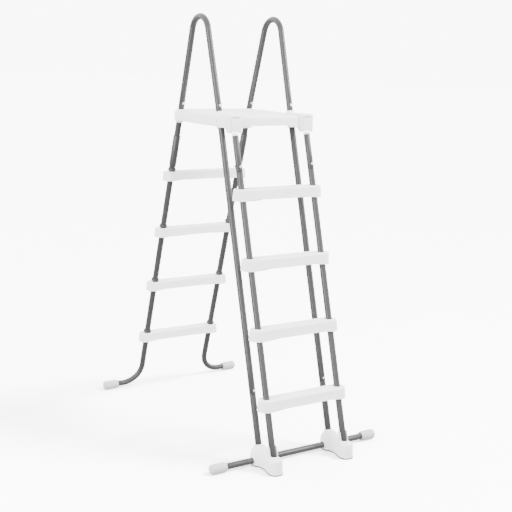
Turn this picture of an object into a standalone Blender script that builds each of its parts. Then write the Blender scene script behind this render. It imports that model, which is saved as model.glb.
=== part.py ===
"""A-frame pool ladder with four fixed rear steps and a tilt-away front section.

Metres, +Z up.  The ladder faces -Y: the removable front steps are at -Y, the
pool side is at +Y.  The origin is under the middle of the object, on the floor.
"""
import bpy
from math import atan, cos, pi, radians, sin
from mathutils import Vector

# Layout
TREAD_RISER = 0.264
TREAD_Z = [0.2785 + TREAD_RISER * step for step in range(4)]
DECK_TOP_Z = 1.3475
SLOPE = 0.285                 # how far a leg moves in Y for each unit of height
RAIL_X = 0.171                # leg axis to the ladder's midplane, x = 0
FRONT_Y = -0.4883             # fixed front leg's axis at the floor
REMOVABLE_STEP_BACK = 0.1023  # removable rail ahead of the fixed leg
BASE_DEPTH = 1.0935           # front leg axis to back leg axis at the floor
SIDES = {"left": -1, "right": 1}

# Tubes
TUBE_R = 0.0127
BORE_R = 0.0115
SPIGOT_R = 0.0108
TUBE_SIDES = 12
GAP = 0.0003
PAST = 0.002                  # how far a cutter reaches past the face it opens
FAR_PAST = 0.030              # and past a face that it crosses at a slant

# Handrail hoops
KINK_Z = 1.3175               # the legs change slope a little inside the deck
HANDRAIL_LEAN = 0.2943
HANDRAIL_SPLAY = 0.0132
HOOP_R = 0.0669
HOOP_CENTRE_Z = 1.6645
HANDRAIL_END_Z = 1.3205
SPIGOT_TOP_Z = 1.4055

# Bolts across the tubes, with a cap nut behind
FRONT_RAIL_BOLT_Z = 1.379
BACK_RAIL_BOLT_Z = 1.3755
FRONT_LEG_BOLT_Z = 0.2805
RAIL_BOLT_Z = 1.1525
FRONT_RAIL_BOLT_HEAD_R = 0.0050
BACK_RAIL_BOLT_HEAD_R = 0.0045
LEG_BOLT_HEAD_R = 0.0042
BOLT_SHANK_R = 0.0021
BOLT_HOLE_R = 0.0027
BOLT_HEAD_EDGE = 0.0022
BOLT_HEAD_HEIGHT = 0.0040
NUT_R = 0.0040
NUT_EDGE = 0.0030
NUT_HEIGHT = 0.0050
NUT_TIP_R = 0.0020
BOLT_SIDES = 8

# Back legs
FLOOR_TUBE_Z = 0.0205
FOOT_BEND_R = 0.090
FOOT_TUBE_END = 0.350
SOCKET_TOP_Z = 1.2305
SOCKET_LOW_Z = 1.1055
SOCKET_TAPER_Z = 1.0865
SOCKET_R = 0.0155
SOCKET_BORE_R = 0.01345

# Front legs and removable rails
FRONT_SEAM_Z = 0.2675
LEG_END_Z = 0.039             # the leg stands just above the cross tube
RAIL_SEAM_Z = 1.1325
RAIL_END_Z = 1.271
SEAM_OVERLAP = 0.060
SOCKET_STOP = 0.004           # from the back leg's wide socket's floor to the tube in it
PIVOT_Z = 0.022
PLUG_BALL_R = 0.0122
PLUG_LENGTH = 0.030           # of each plug, inside its tube
COLLAR_R = 0.0135             # the top plug's collar and lock pin
COLLAR_HEIGHT = 0.0083
PIN_R = 0.0080
PIN_TOP = 0.0123
PIN_CHAMFER = 0.0015

# Steps
STEP_LENGTH = 0.414
STEP_DEPTH = 0.070
STEP_HEIGHT = 0.041
STEP_SETBACK = 0.0045         # the front steps reach further behind their rails than ahead
BACK_STEP_LENGTH = 0.419
BACK_STEP_DEPTH = 0.068
BACK_STEP_HEIGHT = 0.036
STEP_CORNER_R = 0.028
STEP_EDGE = 0.005
STEP_DRAFT = 0.004
STEP_WALL = 0.004
STEP_HOLLOW_CORNER_R = 0.008
STEP_SOCKET_HALF = 0.024
STEP_COLLAR_LIFT = 0.0056     # collar's base above the step, on the leg's axis
STEP_COLLAR_LOW_R = 0.0176
STEP_COLLAR_WIDE_R = 0.0178
STEP_COLLAR_TOP_R = 0.0150
STEP_COLLAR_HEIGHT = 0.0115

# Deck
DECK_HALF_X = 0.205
DECK_FRONT_Y = FRONT_Y + 0.2688
DECK_BACK_Y = FRONT_Y + 0.7388
DECK_BOTTOM_Z = 1.3015
DECK_CORNER_R = 0.044
DECK_FRONT_CORNER_R = 0.012
DECK_DRAFT = 0.0015
DECK_WALL = 0.0035
DECK_EDGE = 0.007
DECK_CROWN = 0.002
DECK_CROWN_INSET = 0.060      # from the skirt to the level middle of the top
DECK_RIM_HEIGHT = 0.0095      # raised rim round each front leg
DECK_BOSS_R = 0.018
DECK_RIB_HALF = 0.0015
DECK_RIB_LIFT = 0.006         # ribs end this far above the skirt's lower edge
DECK_RIB_X = 0.070
DECK_ARCH_HALF_X = 0.092
DECK_ARCH_Z = 1.3085
DECK_SCREW_Y = FRONT_Y + 0.350
DECK_SCREW_Z = 1.3235
DECK_SCREW_HOLE_R = 0.0045

# Latches
HOUSING_HALF_X = 0.028
HOUSING_FACE_Y = FRONT_Y + 0.2573
HOUSING_BACK_Y = FRONT_Y + 0.3323
HOUSING_LIP_Y = FRONT_Y + 0.2828
HOUSING_LOW_Z = 1.2825
HOUSING_TOP_Z = 1.3535
HOUSING_WALL = 0.0035
MOUTH_HALF_X = 0.015
MOUTH_TOP_Z = 1.287
TAB_HALF_X = 0.019
TAB_TOP_Z = 1.341
TAB_THICK = 0.003
STEM_HALF_X = 0.009
STEM_TOP_Z = 1.3115
LATCH_TRAVEL = 0.009
SPRING_R = 0.0065
SPRING_WIRE_R = 0.0007
SPRING_TURNS = 5
SPRING_TOP_Z = 1.347

# Base brackets, from the floor up
PAD_HEIGHT = 0.0047
CROSS_TUBE_Y = FRONT_Y + 0.0058   # under the fixed legs
CROSS_TUBE_HALF_X = 0.3897
BRACKET_BOXINESS = 3.0
LEG_SOCKET_LOW_Z = 0.0365
TILT_SOCKET_R = 0.0136
TILT_SOCKET_SLOPE = 0.055         # of its front wall, which clears the tilted rail
EAR_INNER_X = 0.0150              # two ears guide the tilting rail
EAR_OUTER_X = 0.0190
EAR_DEPTH = 0.016
EAR_TOP_Z = 0.103
# (Y from the fixed leg's axis at the floor, half width, height)
BRACKET_STATIONS = [
    (0.0490, 0.0110, 0.0300),
    (0.0465, 0.0180, 0.0430),
    (0.0410, 0.0260, 0.0570),
    (0.0320, 0.0320, 0.0685),
    (0.0190, 0.0352, 0.0760),
    (0.0050, 0.0360, 0.0775),
    (-0.0080, 0.0345, 0.0765),
    (-0.0170, 0.0290, 0.0740),
    (-0.0260, 0.0235, 0.0710),
    (-0.0390, 0.0205, 0.0685),
    (-0.0550, 0.0200, 0.0680),
    (-0.0710, 0.0225, 0.0695),
    (-0.0860, 0.0262, 0.0705),
    (-0.1020, 0.0282, 0.0705),
    (-0.1150, 0.0262, 0.0695),
    (-0.1240, 0.0210, 0.0665),
    (-0.1295, 0.0135, 0.0610),
    (-0.1315, 0.0070, 0.0530),
]

# Floor caps
CAP_R = 0.0205
CAP_LENGTH = 0.069
CAP_INSERT = 0.060            # how much of the tube the cap takes in
CAP_MOUTH_R = 0.0160
CAP_NECK_R = 0.0180
CAP_NECK_LENGTH = 0.014
CAP_DOME_LENGTH = 0.012

WHITE = (0.80, 0.81, 0.81)
GREY_PAINT = (0.20, 0.205, 0.21)
CAP_GREY = (0.58, 0.59, 0.59)
COLLAR_GREY = (0.11, 0.115, 0.12)
RUBBER_BLACK = (0.02, 0.02, 0.02)
STEEL = (0.62, 0.63, 0.64)


def clear_scene():
    for obj in list(bpy.data.objects):
        bpy.data.objects.remove(obj, do_unlink=True)


def make_material(name, colour, roughness, metallic=0.0):
    material = bpy.data.materials.new(name)
    material.use_nodes = True
    shader = material.node_tree.nodes["Principled BSDF"]
    shader.inputs["Base Color"].default_value = (*colour, 1.0)
    shader.inputs["Roughness"].default_value = roughness
    shader.inputs["Metallic"].default_value = metallic
    return material


# ---------------------------------------------------------------- mesh helpers

def add_object(name, points, faces, material):
    """Make an object from points and faces, with sharp edges kept crisp."""
    mesh = bpy.data.meshes.new(name)
    mesh.from_pydata([tuple(point) for point in points], [], faces)
    mesh.validate()
    mesh.shade_smooth()
    mesh.set_sharp_from_angle(angle=radians(32.0))
    obj = bpy.data.objects.new(name, mesh)
    if material is not None:
        mesh.materials.append(material)
    bpy.context.scene.collection.objects.link(obj)
    return obj


def skin(rings, first, closed_path):
    """Quads between neighbouring rings of equal length, from point number first."""
    faces = []
    size = len(rings[0])
    last = len(rings) if closed_path else len(rings) - 1
    for ring in range(last):
        here = first + ring * size
        there = first + ((ring + 1) % len(rings)) * size
        for corner in range(size):
            after = (corner + 1) % size
            faces.append((here + corner, here + after, there + after, there + corner))
    return faces


def add_loft(name, rings, material):
    """A solid through rings of equal length, closed by a flat face at both ends."""
    size = len(rings[0])
    points = [point for ring in rings for point in ring]
    faces = skin(rings, 0, False)
    faces.append(tuple(reversed(range(size))))
    faces.append(tuple(range(len(points) - size, len(points))))
    return add_object(name, points, faces, material)


def add_loop(name, rings, material):
    """A ring-shaped solid: the last ring joins the first."""
    points = [point for ring in rings for point in ring]
    return add_object(name, points, skin(rings, 0, True), material)


def frames_along(path, side_hint):
    """Two unit vectors across the path at each point, carried along without twist."""
    frames = []
    across = side_hint
    for index, point in enumerate(path):
        before = path[max(index - 1, 0)]
        after = path[min(index + 1, len(path) - 1)]
        tangent = (after - before).normalized()
        across = (across - tangent * across.dot(tangent)).normalized()
        frames.append((across, tangent.cross(across)))
    return frames


def round_ring(centre, frame, radius, sides=TUBE_SIDES):
    across, over = frame
    ring = []
    for corner in range(sides):
        angle = 2.0 * pi * corner / sides
        ring.append(centre + across * (radius * cos(angle)) + over * (radius * sin(angle)))
    return ring


def add_tube(name, path, outer, inner, material, side_hint=Vector((1.0, 0.0, 0.0))):
    """A hollow tube along a path; outer and inner give a radius at each point."""
    frames = frames_along(path, side_hint)
    outside = [round_ring(*part) for part in zip(path, frames, outer)]
    inside = [round_ring(*part) for part in zip(path, frames, inner)]
    return add_loop(name, outside + inside[::-1], material)


def add_turned(name, base, axis, profile, material, sides=TUBE_SIDES, side_hint=None):
    """A solid of revolution; profile lists (distance along the axis, radius)."""
    axis = axis.normalized()
    across = side_hint or Vector((1.0, 0.0, 0.0))
    across = (across - axis * across.dot(axis)).normalized()
    frame = (across, axis.cross(across))
    rings = [round_ring(base + axis * along, frame, radius, sides) for along, radius in profile]
    if profile[0] == profile[-1]:
        return add_loop(name, rings[:-1], material)
    return add_loft(name, rings, material)


def rounded_outline(half_x, front_y, back_y, front_r, back_r, z, corner_points):
    """A rectangle in plan with rounded corners, anticlockwise seen from above."""
    corners = [
        (half_x - back_r, back_y - back_r, back_r, 0.0),
        (-half_x + back_r, back_y - back_r, back_r, 0.5 * pi),
        (-half_x + front_r, front_y + front_r, front_r, pi),
        (half_x - front_r, front_y + front_r, front_r, 1.5 * pi),
    ]
    ring = []
    for centre_x, centre_y, radius, start in corners:
        for point in range(corner_points):
            angle = start + 0.5 * pi * point / (corner_points - 1)
            ring.append(Vector((centre_x + radius * cos(angle), centre_y + radius * sin(angle), z)))
    return ring


def moved(ring, offset):
    return [point + offset for point in ring]


def add_block(name, low, high, material):
    """A block between two opposite corners."""
    ring = [(low[0], low[1]), (high[0], low[1]), (high[0], high[1]), (low[0], high[1])]
    rings = [[Vector((x, y, z)) for x, y in ring] for z in (low[2], high[2])]
    return add_loft(name, rings, material)


def combine(target, tool, operation):
    """Cut or join with a tool that stays in the scene as a hidden wire guide."""
    modifier = target.modifiers.new(tool.name, "BOOLEAN")
    modifier.operation = operation
    modifier.solver = "EXACT"
    modifier.object = tool
    tool.hide_render = True
    tool.display_type = "WIRE"


def cut(target, tool):
    combine(target, tool, "DIFFERENCE")


# ---------------------------------------------------------------- leg centre lines

def front_leg(side, z):
    """Centre of the fixed front leg and handrail at a height."""
    rise = max(z - KINK_Z, 0.0)
    x = SIDES[side] * (RAIL_X + HANDRAIL_SPLAY * rise)
    y = FRONT_Y + SLOPE * min(z, KINK_Z) + HANDRAIL_LEAN * rise
    return Vector((x, y, z))


def back_leg(side, z):
    rise = max(z - KINK_Z, 0.0)
    x = SIDES[side] * (RAIL_X + HANDRAIL_SPLAY * rise)
    y = FRONT_Y + BASE_DEPTH - SLOPE * min(z, KINK_Z) - HANDRAIL_LEAN * rise
    return Vector((x, y, z))


def removable_rail(side, z):
    return Vector((SIDES[side] * RAIL_X, FRONT_Y - REMOVABLE_STEP_BACK + SLOPE * z, z))


def leg_cutter(name, line, side, low_z, high_z, radius):
    """A round cutter along a leg whose flats clear the tube inside it."""
    path = [line(side, low_z), line(side, high_z)]
    axis = path[1] - path[0]
    flat_radius = radius / cos(pi / TUBE_SIDES)
    return add_turned(name, path[0], axis, [(0.0, flat_radius), (axis.length, flat_radius)], None)


# ---------------------------------------------------------------- fasteners

def add_cross_bolt(name, line, side, z, head_r, material, tubes):
    """A bolt through a tube, head to the front, cap nut behind, and its holes."""
    centre = line(side, z)
    along = (line(side, z + 0.01) - centre).normalized()
    axis = Vector((1.0, 0.0, 0.0)).cross(along).normalized()
    if axis.y > 0.0:
        axis = -axis
    seat = TUBE_R + GAP
    profile = [
        (-seat - NUT_HEIGHT, NUT_TIP_R),
        (-seat - NUT_EDGE, NUT_R),
        (-seat, NUT_R),
        (-seat, BOLT_SHANK_R),
        (seat, BOLT_SHANK_R),
        (seat, head_r),
        (seat + BOLT_HEAD_EDGE, head_r),
        (seat + BOLT_HEAD_HEIGHT, 0.5 * head_r),
    ]
    add_turned(name, centre, axis, profile, material, BOLT_SIDES)
    hole = [(-2.0 * TUBE_R, BOLT_HOLE_R), (2.0 * TUBE_R, BOLT_HOLE_R)]
    cutter = add_turned("hole_for_" + name, centre, axis, hole, None, BOLT_SIDES)
    for tube in tubes:
        cut(tube, cutter)


# ---------------------------------------------------------------- tubes

def straight_tube(name, line, stations, material):
    """A straight tube from (height, outer radius, inner radius) stations."""
    side = name.rsplit("_", 1)[1]
    path = [line(side, z) for z, outer, inner in stations]
    return add_tube(name, path, [s[1] for s in stations], [s[2] for s in stations], material)


def spigot_stations(low_z, shoulder_z, top_z):
    """A full-size tube whose top end is drawn in to slide inside the next tube."""
    inner_spigot = SPIGOT_R - (TUBE_R - BORE_R)
    return [
        (low_z, TUBE_R, BORE_R),
        (shoulder_z, TUBE_R, BORE_R),
        (shoulder_z + GAP, SPIGOT_R, inner_spigot),
        (top_z, SPIGOT_R, inner_spigot),
    ]


def build_handrail(side, paint):
    """One hoop: up the front leg's line, over, and down the back leg's line."""
    lean = atan(HANDRAIL_LEAN)
    centre_y = FRONT_Y + 0.5 * BASE_DEPTH
    hoop_segments = 8
    path = [front_leg(side, HANDRAIL_END_Z)]
    for step in range(hoop_segments + 1):
        angle = pi - lean - (pi - 2.0 * lean) * step / hoop_segments
        y = centre_y + HOOP_R * cos(angle)
        z = HOOP_CENTRE_Z + HOOP_R * sin(angle)
        x = SIDES[side] * (RAIL_X + HANDRAIL_SPLAY * (z - KINK_Z))
        path.append(Vector((x, y, z)))
    path.append(back_leg(side, HANDRAIL_END_Z))
    count = len(path)
    return add_tube("handrail_" + side, path, [TUBE_R] * count, [BORE_R] * count, paint)


def build_back_leg(side, paint):
    """J-shaped tube: wide socket at the top, bent outwards along the floor."""
    sign = SIDES[side]
    corner = back_leg(side, FLOOR_TUBE_Z)
    down = (corner - back_leg(side, SOCKET_TOP_Z)).normalized()
    outward = Vector((sign, 0.0, 0.0))
    centre = corner - down * FOOT_BEND_R + outward * FOOT_BEND_R
    stations = [
        (back_leg(side, SOCKET_TOP_Z), SOCKET_R, SOCKET_BORE_R),
        (back_leg(side, SOCKET_LOW_Z), SOCKET_R, SOCKET_BORE_R),
        (back_leg(side, SOCKET_TAPER_Z), TUBE_R, BORE_R),
    ]
    bend_segments = 7
    for step in range(bend_segments + 1):
        angle = 0.5 * pi * step / bend_segments
        point = centre - outward * (FOOT_BEND_R * cos(angle)) + down * (FOOT_BEND_R * sin(angle))
        stations.append((point, TUBE_R, BORE_R))
    end = Vector((sign * FOOT_TUBE_END, corner.y, FLOOR_TUBE_Z))
    stations.append((end, TUBE_R, BORE_R))
    path = [s[0] for s in stations]
    return add_tube("back_leg_" + side, path, [s[1] for s in stations], [s[2] for s in stations], paint)


def build_legs(side, paint):
    """All the tubes on one side; returns them by name."""
    tubes = {"handrail": build_handrail(side, paint), "back_leg": build_back_leg(side, paint)}
    shoulder = HANDRAIL_END_Z - GAP
    kinked = spigot_stations(FRONT_SEAM_Z, KINK_Z, SPIGOT_TOP_Z)
    kinked[2] = (shoulder, SPIGOT_R, kinked[2][2])
    tubes["front_upper"] = straight_tube("front_leg_upper_" + side, front_leg, kinked, paint)
    low_end = SOCKET_LOW_Z + SOCKET_STOP
    kinked = [(low_end, TUBE_R, BORE_R)] + kinked[1:]
    tubes["back_upper"] = straight_tube("back_leg_upper_" + side, back_leg, kinked, paint)
    lower = spigot_stations(LEG_END_Z, FRONT_SEAM_Z - 2.0 * GAP, FRONT_SEAM_Z + SEAM_OVERLAP)
    tubes["front_lower"] = straight_tube("front_leg_lower_" + side, front_leg, lower, paint)
    rail_start = PIVOT_Z + PLUG_BALL_R + 2.0 * GAP
    lower = spigot_stations(rail_start, RAIL_SEAM_Z - 2.0 * GAP, RAIL_SEAM_Z + SEAM_OVERLAP)
    tubes["rail_lower"] = straight_tube("rail_lower_" + side, removable_rail, lower, paint)
    upper = [(RAIL_SEAM_Z, TUBE_R, BORE_R), (RAIL_END_Z, TUBE_R, BORE_R)]
    tubes["rail_upper"] = straight_tube("rail_upper_" + side, removable_rail, upper, paint)
    return tubes


def build_leg_bolts(side, tubes, steel):
    add_cross_bolt("handrail_front_bolt_" + side, front_leg, side, FRONT_RAIL_BOLT_Z,
                   FRONT_RAIL_BOLT_HEAD_R, steel, [tubes["handrail"], tubes["front_upper"]])
    add_cross_bolt("handrail_back_bolt_" + side, back_leg, side, BACK_RAIL_BOLT_Z,
                   BACK_RAIL_BOLT_HEAD_R, steel, [tubes["handrail"], tubes["back_upper"]])
    add_cross_bolt("front_leg_bolt_" + side, front_leg, side, FRONT_LEG_BOLT_Z,
                   LEG_BOLT_HEAD_R, steel, [tubes["front_upper"], tubes["front_lower"]])
    add_cross_bolt("rail_bolt_" + side, removable_rail, side, RAIL_BOLT_Z,
                   LEG_BOLT_HEAD_R, steel, [tubes["rail_upper"], tubes["rail_lower"]])


# ---------------------------------------------------------------- steps and deck

def build_step(name, line, top_z, size, setback, material):
    """A moulded step: rounded top edge, drafted sides, hollow underneath."""
    length, depth, height = size
    centre = line("right", top_z - 0.5 * height)
    offset = Vector((0.0, centre.y + setback, 0.0))
    levels = [
        (top_z - height, 0.0),
        (top_z - STEP_EDGE, STEP_DRAFT),
        (top_z - 0.3 * STEP_EDGE, STEP_DRAFT + 0.3 * STEP_EDGE),
        (top_z, STEP_DRAFT + STEP_EDGE),
    ]
    rings = []
    for z, inset in levels:
        half_y = 0.5 * depth - inset
        radius = STEP_CORNER_R - inset
        ring = rounded_outline(0.5 * length - inset, -half_y, half_y, radius, radius, z, 5)
        rings.append(moved(ring, offset))
    step = add_loft(name, rings, material)
    hollow_half_x = RAIL_X - STEP_SOCKET_HALF
    hollow_half_y = 0.5 * depth - STEP_DRAFT - STEP_WALL
    hollow = []
    for z in (top_z - height - PAST, top_z - STEP_WALL):
        ring = rounded_outline(hollow_half_x, -hollow_half_y, hollow_half_y,
                               STEP_HOLLOW_CORNER_R, STEP_HOLLOW_CORNER_R, z, 2)
        hollow.append(moved(ring, offset))
    cut(step, add_loft("hollow_of_" + name, hollow, None))
    for side in SIDES:
        cutter_name = "leg_hole_" + side + "_of_" + name
        low_z = top_z - height - FAR_PAST
        cut(step, leg_cutter(cutter_name, line, side, low_z, top_z + FAR_PAST, TUBE_R + GAP))
    return step


def build_step_collar(name, side, top_z, material):
    """Flared collar that sits on a back step around the leg."""
    base = back_leg(side, top_z + STEP_COLLAR_LIFT)
    axis = back_leg(side, top_z + 0.1) - base
    bore = (TUBE_R + GAP) / cos(pi / TUBE_SIDES)
    profile = [
        (0.0, bore),
        (0.0, STEP_COLLAR_LOW_R),
        (0.35 * STEP_COLLAR_HEIGHT, STEP_COLLAR_WIDE_R),
        (STEP_COLLAR_HEIGHT, STEP_COLLAR_TOP_R),
        (STEP_COLLAR_HEIGHT, bore),
        (0.0, bore),
    ]
    return add_turned(name, base, axis, profile, material)


def deck_ring(inset, z, front_r, back_r, corner_points):
    """The deck's plan, drawn in by an inset."""
    return rounded_outline(DECK_HALF_X - inset, DECK_FRONT_Y + inset, DECK_BACK_Y - inset,
                           front_r, back_r, z, corner_points)


def build_deck_hollow():
    """Cutter for the deck's underside that leaves its ribs and leg sleeves standing."""
    inset = DECK_WALL + DECK_DRAFT
    rings = []
    for z in (DECK_BOTTOM_Z - PAST, DECK_TOP_Z - DECK_CROWN - DECK_WALL):
        rings.append(deck_ring(inset, z, DECK_FRONT_CORNER_R - PAST, DECK_CORNER_R - inset, 4))
    hollow = add_loft("hollow_of_deck", rings, None)
    rib_low_z = DECK_BOTTOM_Z + DECK_RIB_LIFT
    for number, x in enumerate((-DECK_RIB_X, DECK_RIB_X)):
        low = (x - DECK_RIB_HALF, DECK_FRONT_Y - FAR_PAST, rib_low_z)
        high = (x + DECK_RIB_HALF, DECK_BACK_Y + FAR_PAST, DECK_TOP_Z)
        cut(hollow, add_block("deck_rib_%d" % number, low, high, None))
    low = (-DECK_HALF_X - FAR_PAST, -DECK_RIB_HALF, rib_low_z)
    high = (DECK_HALF_X + FAR_PAST, DECK_RIB_HALF, DECK_TOP_Z)
    cut(hollow, add_block("deck_cross_rib", low, high, None))
    for end, line in (("front", front_leg), ("back", back_leg)):
        for side in SIDES:
            base = line(side, DECK_BOTTOM_Z - FAR_PAST)
            axis = line(side, DECK_TOP_Z) - base
            sleeve = [(0.0, DECK_BOSS_R), (axis.length, DECK_BOSS_R)]
            cut(hollow, add_turned("deck_sleeve_%s_%s" % (end, side), base, axis, sleeve, None))
    return hollow


def build_deck(white):
    """Moulded deck: crowned top, skirt, ribs, a sleeve round each leg and raised front rims."""
    shoulder_z = DECK_TOP_Z - DECK_CROWN
    levels = [
        (DECK_BOTTOM_Z, 0.0),
        (shoulder_z - DECK_EDGE, DECK_DRAFT),
        (shoulder_z - 0.3 * DECK_EDGE, DECK_DRAFT + 0.3 * DECK_EDGE),
        (shoulder_z, DECK_DRAFT + DECK_EDGE),
        (DECK_TOP_Z, DECK_CROWN_INSET),
    ]
    rings = []
    for z, inset in levels:
        front_r = max(DECK_FRONT_CORNER_R - 0.5 * inset, 0.003)
        back_r = max(DECK_CORNER_R - 0.5 * inset, 0.005)
        rings.append(deck_ring(inset, z, front_r, back_r, 6))
    deck = add_loft("deck", rings, white)
    cut(deck, build_deck_hollow())
    for side in SIDES:
        base = front_leg(side, DECK_TOP_Z - 2.0 * DECK_WALL)
        axis = front_leg(side, DECK_TOP_Z + DECK_RIM_HEIGHT) - base
        rim = [(0.0, DECK_BOSS_R), (axis.length, DECK_BOSS_R - 0.001)]
        combine(deck, add_turned("deck_rim_" + side, base, axis, rim, None), "UNION")
    for end, line in (("front", front_leg), ("back", back_leg)):
        for side in SIDES:
            hole_name = "deck_hole_%s_%s" % (end, side)
            cut(deck, leg_cutter(hole_name, line, side, DECK_BOTTOM_Z - FAR_PAST,
                                 DECK_TOP_Z + FAR_PAST, TUBE_R + 3.0 * GAP))
    cut_deck_edges(deck)
    return deck


def cut_deck_edges(deck):
    """The arch in the front skirt, the latch notches and the side screw holes."""
    skirt = 2.0 * DECK_WALL
    low = (-DECK_ARCH_HALF_X, DECK_FRONT_Y - skirt, DECK_BOTTOM_Z - skirt)
    high = (DECK_ARCH_HALF_X, DECK_FRONT_Y + skirt, DECK_ARCH_Z)
    cut(deck, add_block("arch_of_deck", low, high, None))
    half = HOUSING_HALF_X + GAP
    for side, sign in SIDES.items():
        x = sign * RAIL_X
        low = (x - half, DECK_FRONT_Y - skirt, DECK_BOTTOM_Z - skirt)
        high = (x + half, HOUSING_BACK_Y + GAP, DECK_TOP_Z + skirt)
        cut(deck, add_block("housing_notch_" + side, low, high, None))
        start = Vector((sign * (DECK_HALF_X - skirt), DECK_SCREW_Y, DECK_SCREW_Z))
        hole = [(0.0, DECK_SCREW_HOLE_R), (2.0 * skirt, DECK_SCREW_HOLE_R)]
        outward = Vector((sign, 0.0, 0.0))
        upright = Vector((0.0, 0.0, 1.0))
        cut(deck, add_turned("screw_hole_" + side, start, outward, hole, None, BOLT_SIDES, upright))


# ---------------------------------------------------------------- latches

def build_latch(side, white, steel):
    """Housing on the deck's front edge, the tab that slides up in it, and its spring."""
    x = SIDES[side] * RAIL_X
    edge = 0.003
    profile = [
        (HOUSING_FACE_Y, HOUSING_LOW_Z + edge),
        (HOUSING_FACE_Y + edge, HOUSING_LOW_Z),
        (HOUSING_LIP_Y, HOUSING_LOW_Z),
        (HOUSING_LIP_Y + 2.0 * edge, HOUSING_LOW_Z + 2.0 * edge),
        (HOUSING_LIP_Y + 3.0 * edge, DECK_BOTTOM_Z),
        (HOUSING_BACK_Y, DECK_BOTTOM_Z),
        (HOUSING_BACK_Y, HOUSING_TOP_Z),
        (HOUSING_FACE_Y + edge, HOUSING_TOP_Z),
        (HOUSING_FACE_Y, HOUSING_TOP_Z - edge),
    ]
    middle_y = 0.5 * (HOUSING_FACE_Y + HOUSING_BACK_Y)
    middle_z = 0.5 * (HOUSING_LOW_Z + HOUSING_TOP_Z)
    rings = []
    for along, shrink in ((-1.0, 0.97), (-0.94, 1.0), (0.94, 1.0), (1.0, 0.97)):
        ring = []
        for y, z in profile:
            shrunk_y = middle_y + shrink * (y - middle_y)
            shrunk_z = middle_z + shrink * (z - middle_z)
            ring.append(Vector((x + along * HOUSING_HALF_X, shrunk_y, shrunk_z)))
        rings.append(ring)
    housing = add_loft("latch_housing_" + side, rings, white)
    inside_y = HOUSING_FACE_Y + HOUSING_WALL
    roof_z = SPRING_TOP_Z + GAP
    half_in = HOUSING_HALF_X - HOUSING_WALL
    cuts = [
        ("cavity", (x - half_in, inside_y, HOUSING_LOW_Z - PAST),
         (x + half_in, HOUSING_LIP_Y - HOUSING_WALL, roof_z)),
        ("pocket", (x - half_in, HOUSING_LIP_Y, HOUSING_LOW_Z + 0.002),
         (x + half_in, HOUSING_BACK_Y - HOUSING_WALL, roof_z)),
        ("mouth", (x - MOUTH_HALF_X, HOUSING_FACE_Y - PAST, HOUSING_LOW_Z - PAST),
         (x + MOUTH_HALF_X, inside_y + PAST, MOUTH_TOP_Z)),
        ("window", (x - STEM_HALF_X - 0.001, HOUSING_FACE_Y - PAST, MOUTH_TOP_Z - PAST),
         (x + STEM_HALF_X + 0.001, inside_y + PAST, STEM_TOP_Z + LATCH_TRAVEL + 0.001)),
    ]
    for what, low, high in cuts:
        cut(housing, add_block("%s_of_latch_housing_%s" % (what, side), low, high, None))

    carrier_back_y = HOUSING_LIP_Y - HOUSING_WALL - GAP
    face_y = HOUSING_FACE_Y - GAP - TAB_THICK
    tab_rings = []
    for y, inset in ((face_y, 0.0015), (face_y + 0.001, 0.0), (face_y + TAB_THICK, 0.0)):
        ring = [
            Vector((x - TAB_HALF_X + inset, y, MOUTH_TOP_Z + inset)),
            Vector((x + TAB_HALF_X - inset, y, MOUTH_TOP_Z + inset)),
            Vector((x + TAB_HALF_X - inset, y, TAB_TOP_Z - inset)),
            Vector((x - TAB_HALF_X + inset, y, TAB_TOP_Z - inset)),
        ]
        tab_rings.append(ring)
    tab = add_loft("latch_tab_" + side, tab_rings, white)
    stem_low = (x - STEM_HALF_X, face_y + 0.001, MOUTH_TOP_Z + 0.001)
    stem_high = (x + STEM_HALF_X, inside_y + 0.004, STEM_TOP_Z)
    combine(tab, add_block("stem_of_latch_tab_" + side, stem_low, stem_high, None), "UNION")
    block_low = (x - TAB_HALF_X, inside_y + GAP, MOUTH_TOP_Z)
    block_high = (x + TAB_HALF_X, carrier_back_y, STEM_TOP_Z + 0.002)
    combine(tab, add_block("carrier_of_latch_tab_" + side, block_low, block_high, None), "UNION")

    low_z = STEM_TOP_Z + 0.002 + GAP + SPRING_WIRE_R
    high_z = SPRING_TOP_Z - SPRING_WIRE_R
    points_per_turn = 8
    count = SPRING_TURNS * points_per_turn
    centre_y = 0.5 * (inside_y + carrier_back_y)
    path = []
    for step in range(count + 1):
        angle = 2.0 * pi * step / points_per_turn
        z = low_z + (high_z - low_z) * step / count
        path.append(Vector((x + SPRING_R * cos(angle), centre_y + SPRING_R * sin(angle), z)))
    frames = frames_along(path, Vector((0.0, 0.0, 1.0)))
    wire = [round_ring(point, frame, SPRING_WIRE_R, 4) for point, frame in zip(path, frames)]
    add_loft("latch_spring_" + side, wire, steel)


# ---------------------------------------------------------------- removable rail ends

def build_rail_plugs(side, white):
    """Top plug with a collar and lock pin, bottom plug with the ball it tilts on."""
    end = removable_rail(side, RAIL_END_Z)
    axis = (removable_rail(side, 2.0) - end).normalized()
    profile = [
        (-PLUG_LENGTH, SPIGOT_R),
        (GAP, SPIGOT_R),
        (GAP, COLLAR_R),
        (COLLAR_HEIGHT, COLLAR_R),
        (COLLAR_HEIGHT + 0.001, PIN_R),
        (PIN_TOP - PIN_CHAMFER, PIN_R),
        (PIN_TOP, PIN_R - PIN_CHAMFER),
    ]
    add_turned("rail_top_plug_" + side, end, axis, profile, white)
    pivot = removable_rail(side, PIVOT_Z)
    profile = []
    ball_rings = 5
    for ring in range(ball_rings):
        angle = radians(-75.0 + 105.0 * ring / (ball_rings - 1))
        profile.append((PLUG_BALL_R * sin(angle), PLUG_BALL_R * cos(angle)))
    profile.append((PLUG_BALL_R, SPIGOT_R))
    profile.append((PLUG_BALL_R + PLUG_LENGTH, SPIGOT_R))
    add_turned("rail_bottom_plug_" + side, pivot, axis, profile, white)


# ---------------------------------------------------------------- base

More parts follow.
